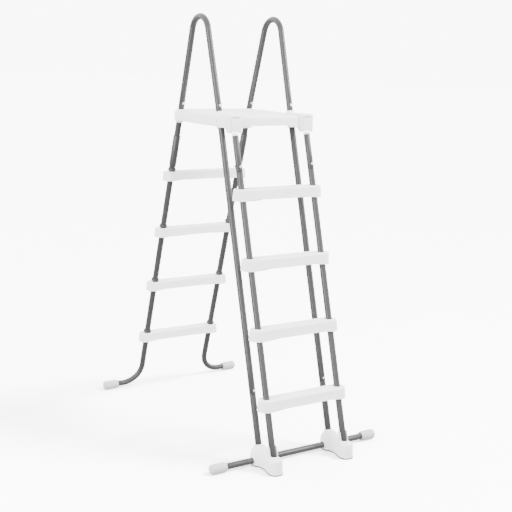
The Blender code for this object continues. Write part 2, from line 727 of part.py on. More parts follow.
def bracket_section(side, station):
    """An arch across the bracket at one station."""
    y, half_width, height = station
    base_z = PAD_HEIGHT + GAP
    power = 2.0 / BRACKET_BOXINESS
    segments = 12
    section = []
    for step in range(segments + 1):
        angle = pi * step / segments
        across = abs(cos(angle)) ** power * (1.0 if cos(angle) >= 0.0 else -1.0)
        up = sin(angle) ** power if 0 < step < segments else 0.0
        x = SIDES[side] * RAIL_X + half_width * across
        section.append(Vector((x, FRONT_Y + y, base_z + (height - base_z) * up)))
    return section


def tilt_socket(side):
    """Cutter for the front socket: round at the pivot, opening forward above it."""
    pivot = removable_rail(side, PIVOT_Z)
    sides = 16
    rings = []
    for z in (PIVOT_Z - PLUG_BALL_R - 3.0 * GAP, PIVOT_Z, EAR_TOP_Z):
        rise = max(z - PIVOT_Z, 0.0)
        ring = []
        for corner in range(sides):
            angle = 2.0 * pi * (corner + 0.5) / sides
            slope = SLOPE if sin(angle) > 0.0 else TILT_SOCKET_SLOPE
            x = pivot.x + TILT_SOCKET_R * cos(angle)
            y = pivot.y + slope * rise + 1.05 * TILT_SOCKET_R * sin(angle)
            ring.append(Vector((x, y, z)))
        rings.append(ring)
    return add_loft("tilt_socket_" + side, rings, None)


def add_ear(name, side, sign):
    """A flat lug beside the tilting rail, leaning with it."""
    middle_x = 0.5 * (EAR_INNER_X + EAR_OUTER_X)
    half_x = 0.5 * (EAR_OUTER_X - EAR_INNER_X)
    half_y = 0.5 * EAR_DEPTH
    rings = []
    for z in (PIVOT_Z, EAR_TOP_Z):
        centre = removable_rail(side, z) + Vector((sign * middle_x, 0.0, 0.0))
        corners = ((-half_x, -half_y), (half_x, -half_y), (half_x, half_y), (-half_x, half_y))
        rings.append([centre + Vector((dx, dy, 0.0)) for dx, dy in corners])
    return add_loft(name, rings, None)


def build_base(side, white, rubber):
    """Moulded bracket over the cross tube that holds the fixed leg and the tilting rail."""
    sections = [bracket_section(side, station) for station in BRACKET_STATIONS]
    bracket = add_loft("base_bracket_" + side, sections, white)
    for number, sign in enumerate((-1.0, 1.0)):
        ear = add_ear("ear_%d_%s" % (number, side), side, sign)
        combine(bracket, ear, "UNION")
    cut(bracket, leg_cutter("front_leg_hole_" + side, front_leg, side, LEG_SOCKET_LOW_Z,
                            2.0 * EAR_TOP_Z, TUBE_R + GAP))
    x = SIDES[side] * RAIL_X
    hole_r = (TUBE_R + GAP) / cos(pi / TUBE_SIDES)
    reach = 2.0 * EAR_TOP_Z
    start = Vector((x - 0.5 * reach, CROSS_TUBE_Y, FLOOR_TUBE_Z))
    hole = [(0.0, hole_r), (reach, hole_r)]
    cut(bracket, add_turned("cross_tube_hole_" + side, start, Vector((1.0, 0.0, 0.0)), hole, None,
                            TUBE_SIDES, Vector((0.0, 0.0, 1.0))))
    cut(bracket, tilt_socket(side))
    outline = [(half + 0.001, y) for y, half, _ in reversed(BRACKET_STATIONS)]
    outline += [(-half - 0.001, y) for y, half, _ in BRACKET_STATIONS]
    rings = [[Vector((x + half, FRONT_Y + y, z)) for half, y in outline] for z in (0.0, PAD_HEIGHT)]
    add_loft("base_pad_" + side, rings, rubber)


def build_floor_cap(name, tip, outward, grey):
    """Rounded cap on a tube end that lies on the floor."""
    bore = (TUBE_R + GAP) / cos(pi / TUBE_SIDES)
    inner_end = -CAP_LENGTH
    bottom = inner_end + CAP_INSERT
    profile = [
        (bottom, 0.6 * bore),
        (bottom, bore),
        (inner_end, bore),
        (inner_end, CAP_MOUTH_R),
        (inner_end + 0.4 * CAP_NECK_LENGTH, CAP_NECK_R),
        (inner_end + CAP_NECK_LENGTH, CAP_R),
        (-CAP_DOME_LENGTH, CAP_R),
        (-0.25 * CAP_DOME_LENGTH, 0.8 * CAP_R),
        (0.0, 0.46 * CAP_R),
    ]
    hint = Vector((0.0, 0.0, 1.0))
    axis = outward.normalized()
    frame = (hint, axis.cross(hint))
    rings = [round_ring(tip + axis * along, frame, radius) for along, radius in profile]
    return add_loft(name, rings, grey)


def build_cross_tube(paint, grey):
    path = [Vector((sign * CROSS_TUBE_HALF_X, CROSS_TUBE_Y, FLOOR_TUBE_Z)) for sign in SIDES.values()]
    hint = Vector((0.0, 0.0, 1.0))
    add_tube("base_cross_tube", path, [TUBE_R] * 2, [BORE_R] * 2, paint, hint)
    overhang = CAP_LENGTH - CAP_INSERT + GAP
    for side, end in zip(SIDES, path):
        outward = Vector((SIDES[side], 0.0, 0.0))
        build_floor_cap("cross_tube_cap_" + side, end + outward * overhang, outward, grey)


def main():
    clear_scene()
    white = make_material("white_plastic", WHITE, 0.42)
    paint = make_material("grey_tube", GREY_PAINT, 0.38, 0.35)
    cap_grey = make_material("cap_plastic", CAP_GREY, 0.5)
    collar_grey = make_material("collar_plastic", COLLAR_GREY, 0.5)
    rubber = make_material("rubber", RUBBER_BLACK, 0.85)
    steel = make_material("steel", STEEL, 0.3, 0.9)

    for side, sign in SIDES.items():
        tubes = build_legs(side, paint)
        build_leg_bolts(side, tubes, steel)
        build_latch(side, white, steel)
        build_rail_plugs(side, white)
        build_base(side, white, rubber)
        foot_y = back_leg(side, FLOOR_TUBE_Z).y
        tip_x = sign * (FOOT_TUBE_END + CAP_LENGTH - CAP_INSERT + GAP)
        tip = Vector((tip_x, foot_y, FLOOR_TUBE_Z))
        build_floor_cap("back_foot_cap_" + side, tip, Vector((sign, 0.0, 0.0)), cap_grey)
    build_cross_tube(paint, cap_grey)
    build_deck(white)
    for number, top_z in enumerate(TREAD_Z, start=1):
        build_step("removable_step_%d" % number, removable_rail, top_z,
                   (STEP_LENGTH, STEP_DEPTH, STEP_HEIGHT), STEP_SETBACK, white)
        build_step("back_step_%d" % number, back_leg, top_z,
                   (BACK_STEP_LENGTH, BACK_STEP_DEPTH, BACK_STEP_HEIGHT), 0.0, white)
        for side in SIDES:
            build_step_collar("back_step_%d_collar_%s" % (number, side), side, top_z, collar_grey)


main()
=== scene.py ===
"""Looks of the A-frame pool ladder: fine moulded and bent-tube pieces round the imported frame."""
from math import atan, cos, pi, radians, sin

import bpy
from mathutils import Matrix, Vector


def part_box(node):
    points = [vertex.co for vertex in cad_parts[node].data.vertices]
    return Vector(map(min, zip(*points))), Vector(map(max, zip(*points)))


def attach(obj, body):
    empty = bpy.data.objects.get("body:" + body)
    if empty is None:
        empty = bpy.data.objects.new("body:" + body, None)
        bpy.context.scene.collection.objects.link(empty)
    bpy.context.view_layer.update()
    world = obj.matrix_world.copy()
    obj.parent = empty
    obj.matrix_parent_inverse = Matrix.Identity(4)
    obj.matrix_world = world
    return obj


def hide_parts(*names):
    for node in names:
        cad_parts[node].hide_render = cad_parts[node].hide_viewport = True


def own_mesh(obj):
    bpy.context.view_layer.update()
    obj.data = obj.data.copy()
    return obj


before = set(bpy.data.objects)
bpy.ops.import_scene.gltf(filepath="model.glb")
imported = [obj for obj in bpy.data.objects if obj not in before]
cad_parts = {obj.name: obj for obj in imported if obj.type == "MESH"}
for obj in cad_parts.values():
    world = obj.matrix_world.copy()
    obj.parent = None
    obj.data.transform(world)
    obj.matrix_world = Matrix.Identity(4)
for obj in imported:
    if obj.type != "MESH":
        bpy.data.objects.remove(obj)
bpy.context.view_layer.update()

SIDES = {"left": -1, "right": 1}
STEPS = range(1, 5)
X_AXIS = Vector((1.0, 0.0, 0.0))
Y_AXIS = Vector((0.0, 1.0, 0.0))
Z_AXIS = Vector((0.0, 0.0, 1.0))
QUARTER = 0.5 * pi
FINE_SIDES = 40
GAP = 0.0003  # between neighbours that touch
PAST = 0.01  # how far a cutting tool reaches past a face


def low(node):
    return Vector(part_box(node)[0])


def high(node):
    return Vector(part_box(node)[1])


def middle(node):
    return 0.5 * (low(node) + high(node))


# Layout, as in the frame
RAIL_X = 0.171
SLOPE = 0.285
FRONT_Y = -0.4883
BACK_Y = FRONT_Y + 1.0935
REMOVABLE_Y = FRONT_Y - 0.1023
TUBE_R = 0.0127
TUBE_WALL = 0.0012
TUBE_HOLE_R = TUBE_R + 2 * GAP
DECK_HOLE_R = TUBE_R + 0.0008
FLOOR_TUBE_Z = 0.0205
CROSS_TUBE_Y = FRONT_Y + 0.0058
KINK_Z = 1.3175
HANDRAIL_LEAN = 0.2943
HANDRAIL_SPLAY = 0.0132
HOOP_R = 0.0669
HOOP_CENTRE_Z = 1.6645
HANDRAIL_END_Z = 1.3205
SPIGOT_TOP_Z = 1.4055
SPIGOT_OVERLAP = 0.06
FRONT_SEAM_Z = 0.2675
RAIL_SEAM_Z = 1.1325
RAIL_END_Z = 1.271
BACK_SEAM_Z = 1.1105
PIVOT_Z = 0.022
EAR_TOP_Z = 0.103
DECK_LOW = low("deck")
DECK_HIGH = high("deck")
DECK_TOP_Z = 1.3475
DECK_SHOULDER_Z = DECK_TOP_Z - 0.002
LATCH_WALL = 0.0035


# Small sums

def spaced(start, span, gaps):
    """Evenly spaced values, both ends included."""
    return [start + span * step / gaps for step in range(gaps + 1)]


def clamped(value):
    return min(max(value, 0.0), 1.0)


def smooth(share):
    """Ease in and out between 0 and 1."""
    return share * share * (3.0 - 2 * share)


def signed_power(value, power):
    """A power that keeps the value's sign."""
    size = abs(value) ** power
    return size if value >= 0.0 else -size


# Meshes

def link_object(name, data, matrix=Matrix()):
    obj = bpy.data.objects.new(name, data)
    obj.matrix_world = matrix
    bpy.context.scene.collection.objects.link(obj)
    return obj


def add_object(name, points, faces, crease=32.0):
    mesh = bpy.data.meshes.new(name)
    mesh.from_pydata([tuple(point) for point in points], [], faces)
    mesh.validate()
    mesh.shade_smooth()
    mesh.set_sharp_from_angle(angle=radians(crease))
    return link_object(name, mesh)


def skin(rings, closed=False):
    """Quads between neighbouring rings of equal length."""
    faces = []
    size = len(rings[0])
    last = len(rings) if closed else len(rings) - 1
    for ring in range(last):
        here = ring * size
        there = ((ring + 1) % len(rings)) * size
        for corner in range(size):
            after = (corner + 1) % size
            faces.append((here + corner, here + after, there + after, there + corner))
    return faces


def loft(name, rings, crease=32.0):
    """A solid through rings of equal length, closed flat at both ends."""
    size = len(rings[0])
    points = [point for ring in rings for point in ring]
    faces = skin(rings)
    faces.append(tuple(reversed(range(size))))
    faces.append(tuple(range(len(points) - size, len(points))))
    return add_object(name, points, faces, crease)


def loop(name, rings):
    """A solid whose last ring meets its first."""
    points = [point for ring in rings for point in ring]
    return add_object(name, points, skin(rings, True))


def frames_along(path, side_hint):
    """Two unit vectors across the path at each point, without twist."""
    frames = []
    across = side_hint
    for index in range(len(path)):
        before = path[max(index - 1, 0)]
        after = path[min(index + 1, len(path) - 1)]
        tangent = (after - before).normalized()
        across = (across - tangent * across.dot(tangent)).normalized()
        frames.append((across, tangent.cross(across)))
    return frames


def circle(centre, cross, radius, sides=FINE_SIDES):
    across, over = cross
    return [centre + across * (radius * cos(angle)) + over * (radius * sin(angle))
            for angle in spaced(0.0, 2 * pi, sides)[:-1]]


def rounded(points, radius_steps=4):
    """Round a profile's corners; points are (along, radius) with an optional corner radius."""
    result = []
    for index, point in enumerate(points):
        if len(point) == 2:
            result.append(point)
            continue
        here = Vector(point[:2])
        before = Vector(points[index - 1][:2]) - here
        after = Vector(points[index + 1][:2]) - here
        cut_back = min(point[2], 0.49 * before.length, 0.49 * after.length)
        start = here + before.normalized() * cut_back
        end = here + after.normalized() * cut_back
        for t in spaced(0.0, 1.0, radius_steps):
            blend = start * (1 - t) ** 2 + here * (2 * t * (1 - t)) + end * t ** 2
            result.append((blend.x, blend.y))
    return result


def turned(name, base, axis, profile, sides=FINE_SIDES, hint=X_AXIS):
    """A solid of revolution; the profile's distances run along the axis from base."""
    profile = rounded(profile)
    axis = axis.normalized()
    across = (hint - axis * hint.dot(axis)).normalized()
    cross = (across, axis.cross(across))
    rings = [circle(base + axis * along, cross, radius, sides) for along, radius in profile]
    if profile[0] == profile[-1]:
        return loop(name, rings[:-1])
    return loft(name, rings)


def apply_modifiers(obj, crease=32.0):
    depsgraph = bpy.context.evaluated_depsgraph_get()
    mesh = bpy.data.meshes.new_from_object(obj.evaluated_get(depsgraph))
    mesh.name = obj.name
    obj.modifiers.clear()
    obj.data = mesh
    mesh.shade_smooth()
    mesh.set_sharp_from_angle(angle=radians(crease))


def cut(target, tool, operation="DIFFERENCE"):
    """Apply a boolean at once and remove the tool."""
    modifier = target.modifiers.new("boolean", "BOOLEAN")
    modifier.operation = operation
    modifier.solver = "EXACT"
    modifier.object = tool
    apply_modifiers(target)
    bpy.data.objects.remove(tool, do_unlink=True)


def fuse(target, tool):
    cut(target, tool, "UNION")


def joined(name, parts):
    """Several meshes as one object."""
    points = []
    faces = []
    for part in parts:
        start = len(points)
        points.extend(vertex.co.copy() for vertex in part.data.vertices)
        faces.extend(tuple(start + index for index in face.vertices) for face in part.data.polygons)
        bpy.data.objects.remove(part, do_unlink=True)
    return add_object(name, points, faces)


def rounded_block(name, low_corner, high_corner, radius, axis="z", steps=5):
    """A block rounded along one axis and eased at its ends."""
    size = Vector(high_corner) - Vector(low_corner)
    first, second, third = {"z": (0, 1, 2), "y": (2, 0, 1)}[axis]
    ease = min(0.35 * radius, 0.2 * size[third])
    length = size[third]
    corners = ((1, 1, 0.0), (0, 1, QUARTER), (0, 0, pi), (1, 0, 1.5 * pi))
    rings = []
    for along, inset in ((0.0, ease), (0.3 * ease, 0.3 * ease), (ease, 0.0),
                         (length - ease, 0.0), (length - 0.3 * ease, 0.3 * ease), (length, ease)):
        reach = radius - min(inset, 0.8 * radius)
        ring = []
        for at_first, at_second, start in corners:
            centre_first = size[first] - radius if at_first else radius
            centre_second = size[second] - radius if at_second else radius
            for angle in spaced(start, QUARTER, steps - 1):
                point = list(low_corner)
                point[first] += centre_first + reach * cos(angle)
                point[second] += centre_second + reach * sin(angle)
                point[third] += along
                ring.append(Vector(point))
        rings.append(ring)
    return loft(name, rings)


def slab(name, x, half_x, y_range, z_range, radius, axis="z"):
    """A rounded block centred on x."""
    return rounded_block(name, (x - half_x, y_range[0], z_range[0]),
                         (x + half_x, y_range[1], z_range[1]), radius, axis)


# Materials

class Wiring:
    """Short calls that add nodes to a tree."""

    def __init__(self, tree):
        self.nodes = tree.nodes
        self.links = tree.links

    def add(self, kind, values, sources):
        """A node with some sockets set and others fed."""
        node = self.nodes.new("ShaderNode" + kind)
        for socket, value in values.items():
            node.inputs[socket].default_value = value
        for socket, source in sources.items():
            self.links.new(source, node.inputs[socket])
        return node

    def spread(self, source, from_low, from_high, to_low, to_high):
        values = {"From Min": from_low, "From Max": from_high, "To Min": to_low, "To Max": to_high}
        return self.add("MapRange", values, {"Value": source}).outputs["Result"]

    def height_of(self, vector):
        return self.add("SeparateXYZ", {}, {"Vector": vector}).outputs["Z"]


class Shader(Wiring):
    """A Principled material."""

    def __init__(self, name, roughness, specular=0.5, metallic=0.0):
        self.material = bpy.data.materials.new(name)
        self.material.use_nodes = True
        super().__init__(self.material.node_tree)
        self.surface = self.nodes["Principled BSDF"]
        self.set("Roughness", roughness)
        self.set("Specular IOR Level", specular)
        self.set("Metallic", metallic)
        self.place = self.nodes.new("ShaderNodeTexCoord").outputs["Object"]

    def set(self, socket, value):
        self.surface.inputs[socket].default_value = value

    def stretch(self, scale):
        return self.add("Mapping", {"Scale": scale}, {"Vector": self.place}).outputs["Vector"]

    def noise(self, scale, detail=3.0, rough=0.5, vector=None):
        values = {"Scale": scale, "Detail": detail, "Roughness": rough}
        return self.add("TexNoise", values, {"Vector": vector or self.place}).outputs["Fac"]

    def cells(self, scale):
        return self.add("TexVoronoi", {"Scale": scale}, {"Vector": self.place}).outputs["Distance"]

    def ramp(self, source, first, second):
        """Colours blended between two (position, colour) stops."""
        node = self.add("ValToRGB", {}, {"Fac": source})
        for element, (position, colour) in zip(node.color_ramp.elements, (first, second)):
            element.position = position
            element.color = (*colour, 1.0)
        return node.outputs["Color"]

    def mix(self, share, field, colour):
        """Lay a flat colour over a coloured field."""
        node = self.nodes.new("ShaderNodeMix")
        node.data_type = "RGBA"
        self.links.new(share, node.inputs["Factor"])
        self.links.new(field, node.inputs["A"])
        node.inputs["B"].default_value = (*colour, 1.0)
        return node.outputs["Result"]

    def height(self, source, strength, distance, after=None):
        sources = {"Height": source}
        if after is not None:
            sources["Normal"] = after
        return self.add("Bump", {"Strength": strength, "Distance": distance}, sources).outputs["Normal"]

    def finish(self, colour, roughness=None, normal=None):
        for source, socket in ((colour, "Base Color"), (roughness, "Roughness"), (normal, "Normal")):
            if source is not None:
                self.links.new(source, self.surface.inputs[socket])
        return self.material


def white_plastic():
    """Moulded polypropylene: fine grain, sink marks and faint scuffs."""
    shader = Shader("white_plastic", 0.42, 0.45)
    shader.set("Subsurface Weight", 0.08)
    shader.set("Subsurface Radius", (0.004, 0.004, 0.004))
    tone = (0.8, 0.805, 0.81)
    warm = (0.975 * tone[0], 0.975 * tone[1], 0.955 * tone[2])
    scuffed = tuple(0.86 * part for part in tone)
    patches = shader.ramp(shader.noise(7.0, 4.0, 0.6), (0.35, tone), (0.75, warm))
    scuff_lines = shader.noise(60.0, 6.0, 0.75, shader.stretch((0.25, 1.0, 3.0)))
    scuffs = shader.spread(scuff_lines, 0.64, 0.78, 0.0, 0.35)
    colour = shader.mix(scuffs, patches, scuffed)
    rough = shader.spread(shader.noise(45.0, 5.0, 0.6), 0.3, 0.7, 0.36, 0.5)
    grain = shader.height(shader.cells(1400.0), 0.1, 0.0003)
    waves = shader.height(shader.noise(18.0, 2.0), 0.1, 0.0012, grain)
    return shader.finish(colour, rough, waves)


def tube_paint():
    """Satin grey powder coat: orange peel, flakes and rubbed streaks."""
    shader = Shader("tube_paint", 0.34, 0.34, 0.05)
    shader.set("Coat Weight", 0.06)
    shader.set("Coat Roughness", 0.16)
    dark = (0.026, 0.0265, 0.0275)
    light = (0.031, 0.0315, 0.0325)
    flake = (0.042, 0.0425, 0.044)
    rubbed = (0.04, 0.0405, 0.042)
    base = shader.ramp(shader.noise(14.0, 4.0, 0.6), (0.3, dark), (0.7, light))
    flakes = shader.spread(shader.cells(2600.0), 0.05, 0.22, 0.3, 0.0)
    streak_field = shader.noise(55.0, 6.0, 0.7, shader.stretch((2.5, 2.5, 0.35)))
    streaks = shader.spread(streak_field, 0.68, 0.82, 0.0, 0.3)
    colour = shader.mix(streaks, shader.mix(flakes, base, flake), rubbed)
    rough = shader.spread(shader.noise(90.0, 4.0, 0.6), 0.3, 0.7, 0.3, 0.4)
    peel = shader.height(shader.noise(650.0, 2.0, 0.5), 0.03, 0.0002)
    sag = shader.height(shader.noise(25.0, 2.0), 0.03, 0.0006, peel)
    return shader.finish(colour, rough, sag)


def cap_plastic():
    """Milky plastic, frosted, darker towards the bottom."""
    shader = Shader("cap_plastic", 0.5)
    shader.set("Subsurface Weight", 0.25)
    shader.set("Subsurface Radius", (0.008, 0.008, 0.008))
    milky = (0.4, 0.405, 0.405)
    clouded = (0.46, 0.465, 0.465)
    low_tone = (0.28, 0.272, 0.264)
    mottled = shader.ramp(shader.noise(50.0, 5.0, 0.6), (0.3, milky), (0.7, clouded))
    # colour darker towards the bottom, below 12 mm above the floor
    low_share = shader.spread(shader.height_of(shader.place), 0.001, 0.012, 0.55, 0.0)
    colour = shader.mix(low_share, mottled, low_tone)
    rough = shader.spread(shader.noise(120.0, 4.0), 0.3, 0.7, 0.42, 0.58)
    frost = shader.height(shader.noise(700.0, 3.0), 0.14, 0.0003)
    return shader.finish(colour, rough, frost)


def collar_plastic():
    """Dark grey moulded plastic."""
    shader = Shader("collar_plastic", 0.46, 0.3)
    dark = (0.022, 0.0225, 0.023)
    light = (0.032, 0.0325, 0.033)
    colour = shader.ramp(shader.noise(80.0, 5.0, 0.6), (0.3, dark), (0.7, light))
    rough = shader.spread(shader.noise(150.0, 4.0), 0.3, 0.7, 0.38, 0.54)
    grain = shader.height(shader.cells(1500.0), 0.12, 0.0003)
    return shader.finish(colour, rough, grain)


def pad_rubber():
    """Matt black rubber with a crumbly skin."""
    shader = Shader("pad_rubber", 0.8, 0.2)
    black = (0.008, 0.008, 0.008)
    dusty = (0.02, 0.0195, 0.019)
    colour = shader.ramp(shader.noise(70.0, 6.0, 0.7), (0.3, black), (0.75, dusty))
    rough = shader.spread(shader.noise(200.0, 4.0), 0.3, 0.7, 0.7, 0.92)
    crumb = shader.height(shader.noise(900.0, 4.0, 0.7), 0.35, 0.0004)
    return shader.finish(colour, rough, crumb)


def plain_steel(name, tone):
    """Bright steel with fine scratches and dull spots."""
    shader = Shader(name, 0.26, metallic=0.95)
    bright = (tone, tone, 1.01 * tone)
    dull = (0.72 * tone, 0.72 * tone, 0.7 * tone)
    colour = shader.ramp(shader.noise(260.0, 5.0, 0.7), (0.35, bright), (0.8, dull))
    rough = shader.spread(shader.noise(420.0, 5.0, 0.7), 0.3, 0.75, 0.18, 0.46)
    scratches = shader.noise(900.0, 3.0, 0.5, shader.stretch((1.0, 0.15, 1.0)))
    return shader.finish(colour, rough, shader.height(scratches, 0.15, 0.0002))


MATERIALS = {
    "white_plastic": white_plastic(),
    "tube_paint": tube_paint(),
    "cap_plastic": cap_plastic(),
    "collar_plastic": collar_plastic(),
    "pad_rubber": pad_rubber(),
    "bolt_steel": plain_steel("bolt_steel", 0.66),
    "spring_steel": plain_steel("spring_steel", 0.42),
}


def dress(piece, node, slot_name, body="frame"):
    """Stand a fine piece in for its CAD node, on its body."""
    piece.data.materials.clear()
    piece.data.materials.append(MATERIALS[slot_name])
    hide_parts(node)
    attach(piece, body)


# Leg lines

def bent_leg(side, z, y_at_floor, inward):
    """A leg's axis: straight to the deck, then leaning as the hoop does."""
    rise = max(z - KINK_Z, 0.0)
    x = SIDES[side] * (RAIL_X + HANDRAIL_SPLAY * rise)
    return Vector((x, y_at_floor + inward * (SLOPE * min(z, KINK_Z) + HANDRAIL_LEAN * rise), z))


def front_leg(side, z):
    return bent_leg(side, z, FRONT_Y, 1.0)


def back_leg(side, z):
    return bent_leg(side, z, BACK_Y, -1.0)


FIXED_LEGS = (front_leg, back_leg)


def rail_line(side, z):
    return Vector((SIDES[side] * RAIL_X, REMOVABLE_Y + SLOPE * z, z))


def body_of(line):
    return "removable_steps" if line is rail_line else "frame"


def stretch_of(line, side, low_z, high_z):
    """Base point and axis vector of a stretch of leg."""
    base = line(side, low_z)
    return base, line(side, high_z) - base


def rod(line, side, low_z, high_z, radius):
    """A plain cylinder along a leg line, to cut with."""
    base, axis = stretch_of(line, side, low_z, high_z)
    return turned("rod", base, axis, [(0.0, radius), (axis.length, radius)])


# Tubes

def densify(path, radii, spacing=0.12):
    """More points along the straights, for even shading."""
    points = []
    sizes = []
    for index in range(len(path) - 1):
        gap = (path[index + 1] - path[index]).length
        for share in spaced(0.0, 1.0, max(1, round(gap / spacing)))[:-1]:
            points.append(path[index].lerp(path[index + 1], share))
            sizes.append(radii[index] * (1 - share) + radii[index + 1] * share)
    return points + [path[-1]], sizes + [radii[-1]]


def eased_ends(path, radii):
    """Round a tube's two rims."""
    ease = 0.0008
    drawn_in = 0.6 * ease
    first = (path[1] - path[0]).normalized()
    last = (path[-2] - path[-1]).normalized()
    path = [path[0], path[0] + first * ease] + path[1:-1] + [path[-1] + last * ease, path[-1]]
    radii = [radii[0] - drawn_in, radii[0]] + radii[1:-1] + [radii[-1], radii[-1] - drawn_in]
    return path, radii


def build_tube(name, node, stations, body="frame", hint=X_AXIS):
    """A hollow tube through (point, outer radius) stations."""
    path, outer = densify([point for point, _ in stations], [radius for _, radius in stations])
    path, outer = eased_ends(path, outer)
    frames = frames_along(path, hint)
    outside = [circle(*part) for part in zip(path, frames, outer)]
    inside = [circle(*part) for part in zip(path, frames, [radius - TUBE_WALL for radius in outer])]
    dress(loop(name, outside + inside[::-1]), node, "tube_paint", body)


def build_handrail(side):
    lean = atan(HANDRAIL_LEAN)
    centre_y = 0.5 * (FRONT_Y + BACK_Y)
    stations = [(front_leg(side, HANDRAIL_END_Z), TUBE_R)]
    for angle in spaced(pi - lean, 2 * lean - pi, 28):
        z = HOOP_CENTRE_Z + HOOP_R * sin(angle)
        x = SIDES[side] * (RAIL_X + HANDRAIL_SPLAY * (z - KINK_Z))
        stations.append((Vector((x, centre_y + HOOP_R * cos(angle), z)), TUBE_R))
    stations.append((back_leg(side, HANDRAIL_END_Z), TUBE_R))
    build_tube("handrail_tube_" + side, "handrail_" + side, stations)


def build_back_leg(side):
    """J tube: wide socket, taper, and a bend out along the floor."""
    sign = SIDES[side]
    bend_r = 0.09
    wide_r = 0.0155
    top_z = 1.2305
    taper_drop = 0.026
    corner = back_leg(side, FLOOR_TUBE_Z)
    down = (corner - back_leg(side, top_z)).normalized()
    outward = sign * X_AXIS
    centre = corner - down * bend_r + outward * bend_r
    stations = [(back_leg(side, top_z), wide_r), (back_leg(side, BACK_SEAM_Z + 0.004), wide_r)]
    for share in spaced(0.0, 1.0, 7):
        radius = wide_r + (TUBE_R - wide_r) * smooth(share)
        stations.append((back_leg(side, BACK_SEAM_Z - taper_drop * share), radius))
    for angle in spaced(0.0, QUARTER, 22):
        point = centre - outward * (bend_r * cos(angle)) + down * (bend_r * sin(angle))
        stations.append((point, TUBE_R))
    end_x = middle("back_foot_cap_" + side).x + sign * 0.01
    stations.append((Vector((end_x, corner.y, FLOOR_TUBE_Z)), TUBE_R))
    build_tube("back_leg_tube_" + side, "back_leg_" + side, stations)


def with_spigot(line, side, low_z, shoulder_z, top_z):
    """Stations of a straight tube whose top end is drawn in."""
    spigot_r = 0.0108
    return [
        (line(side, low_z), TUBE_R),
        (line(side, shoulder_z), TUBE_R),
        (line(side, shoulder_z + 0.0006), spigot_r),
        (line(side, top_z), spigot_r),
    ]


def build_straight_tubes(side):
    hoop_shoulder_z = HANDRAIL_END_Z - 0.0009
    seam_gap = 0.0012
    for name, node, line, low_z, shoulder_z, top_z in (
        ("front_leg_top_tube_", "front_leg_upper_", front_leg, FRONT_SEAM_Z, hoop_shoulder_z, SPIGOT_TOP_Z),
        ("front_leg_low_tube_", "front_leg_lower_", front_leg, 0.039,
         FRONT_SEAM_Z - seam_gap, FRONT_SEAM_Z + SPIGOT_OVERLAP),
        ("back_leg_top_tube_", "back_leg_upper_", back_leg, BACK_SEAM_Z, hoop_shoulder_z, SPIGOT_TOP_Z),
        ("rail_low_tube_", "rail_lower_", rail_line, PIVOT_Z + 0.013,
         RAIL_SEAM_Z - seam_gap, RAIL_SEAM_Z + SPIGOT_OVERLAP),
    ):
        stations = with_spigot(line, side, low_z, shoulder_z, top_z)
        build_tube(name + side, node + side, stations, body_of(line))
    stations = [(rail_line(side, z), TUBE_R) for z in (RAIL_SEAM_Z, RAIL_END_Z)]
    build_tube("rail_top_tube_" + side, "rail_upper_" + side, stations, "removable_steps")


def build_cross_tube():
    stations = [(Vector((x, CROSS_TUBE_Y, FLOOR_TUBE_Z)), TUBE_R)
                for x in (low("base_cross_tube").x, high("base_cross_tube").x)]
    build_tube("cross_tube", "base_cross_tube", stations, hint=Z_AXIS)


# Steps

def step_outline(half_length, end_r, bar_half, inset):
    """Plan of a step as (x, y, share of socket): round ends and a slimmer bar between."""
    socket_end = 0.02
    shoulder = 0.01
    radius = end_r - inset
    bar = bar_half - inset
    centre_x = half_length - end_r
    points = []
    for sign, turn in ((1, 0.0), (-1, pi)):
        for angle in spaced(-QUARTER, pi, 22):
            points.append((sign * centre_x + radius * cos(angle + turn), radius * sin(angle + turn), 1.0))
        for share in spaced(0.0, 1.0, 14)[1:-1]:
            x = sign * centre_x * (1.0 - 2 * share)
            ease = smooth(clamped((centre_x - abs(x) - socket_end) / shoulder))
            points.append((x, sign * (radius + (bar - radius) * ease), 1.0 - ease))
    return points


def tread_ribs(centre, half_x, half_y, top_z, count):
    """Low rounded anti-slip ribs along a tread."""
    width = 0.0022
    lift = 0.0009
    root = -0.0012
    profile = [(-width, root), (-width, 0.0), (-0.55 * width, 0.8 * lift), (0.0, lift),
               (0.55 * width, 0.8 * lift), (width, 0.0), (width, root)]
    ends = ((-half_x, 0.35), (-half_x + 0.0015, 0.9), (-half_x + 0.003, 1.0),
            (half_x - 0.003, 1.0), (half_x - 0.0015, 0.9), (half_x, 0.35))
    ribs = []
    for y in spaced(centre.y - half_y, 2 * half_y, count - 1):
        rings = []
        for x, scale in ends:
            rings.append([Vector((centre.x + x, y + scale * across, top_z + (scale * up if up > 0 else up)))
                          for across, up in profile])
        ribs.append(loft("rib", rings))
    return joined("ribs", ribs)


def step_shell(name, node, recess):
    """A step's outside, whose sockets hang lower than its bar."""
    fillet = 0.0055
    draft = 0.0035
    socket_drop = 0.0045
    drop_fade = 0.02
    centre = middle(node)
    box_low = low(node)
    half_length, end_r, _ = 0.5 * (high(node) - box_low)
    height = high(node).z - box_low.z
    # (height, inset, how far the sockets' drop still counts)
    levels = [(0.0, 0.0008, 1.0), (0.0012, 0.0, 1.0)]
    for share in spaced(0.0, 1.0, 5)[1:]:
        bowed = 0.0005 * sin(pi * share)
        levels.append((share * (height - fillet), draft * share + bowed, 1.0 - share))
    for angle in spaced(0.0, QUARTER, 6)[1:]:
        levels.append((height - fillet + fillet * sin(angle), draft + fillet * (1.0 - cos(angle)), 0.0))
    rings = []
    for up, inset, lower_share in levels:
        drop = socket_drop * lower_share * (1.0 - min(up / drop_fade, 1.0))
        rings.append([Vector((centre.x + x, centre.y + y, box_low.z + up - drop * socket))
                      for x, y, socket in step_outline(half_length, end_r, end_r - recess, inset)])
    return loft(name, rings)


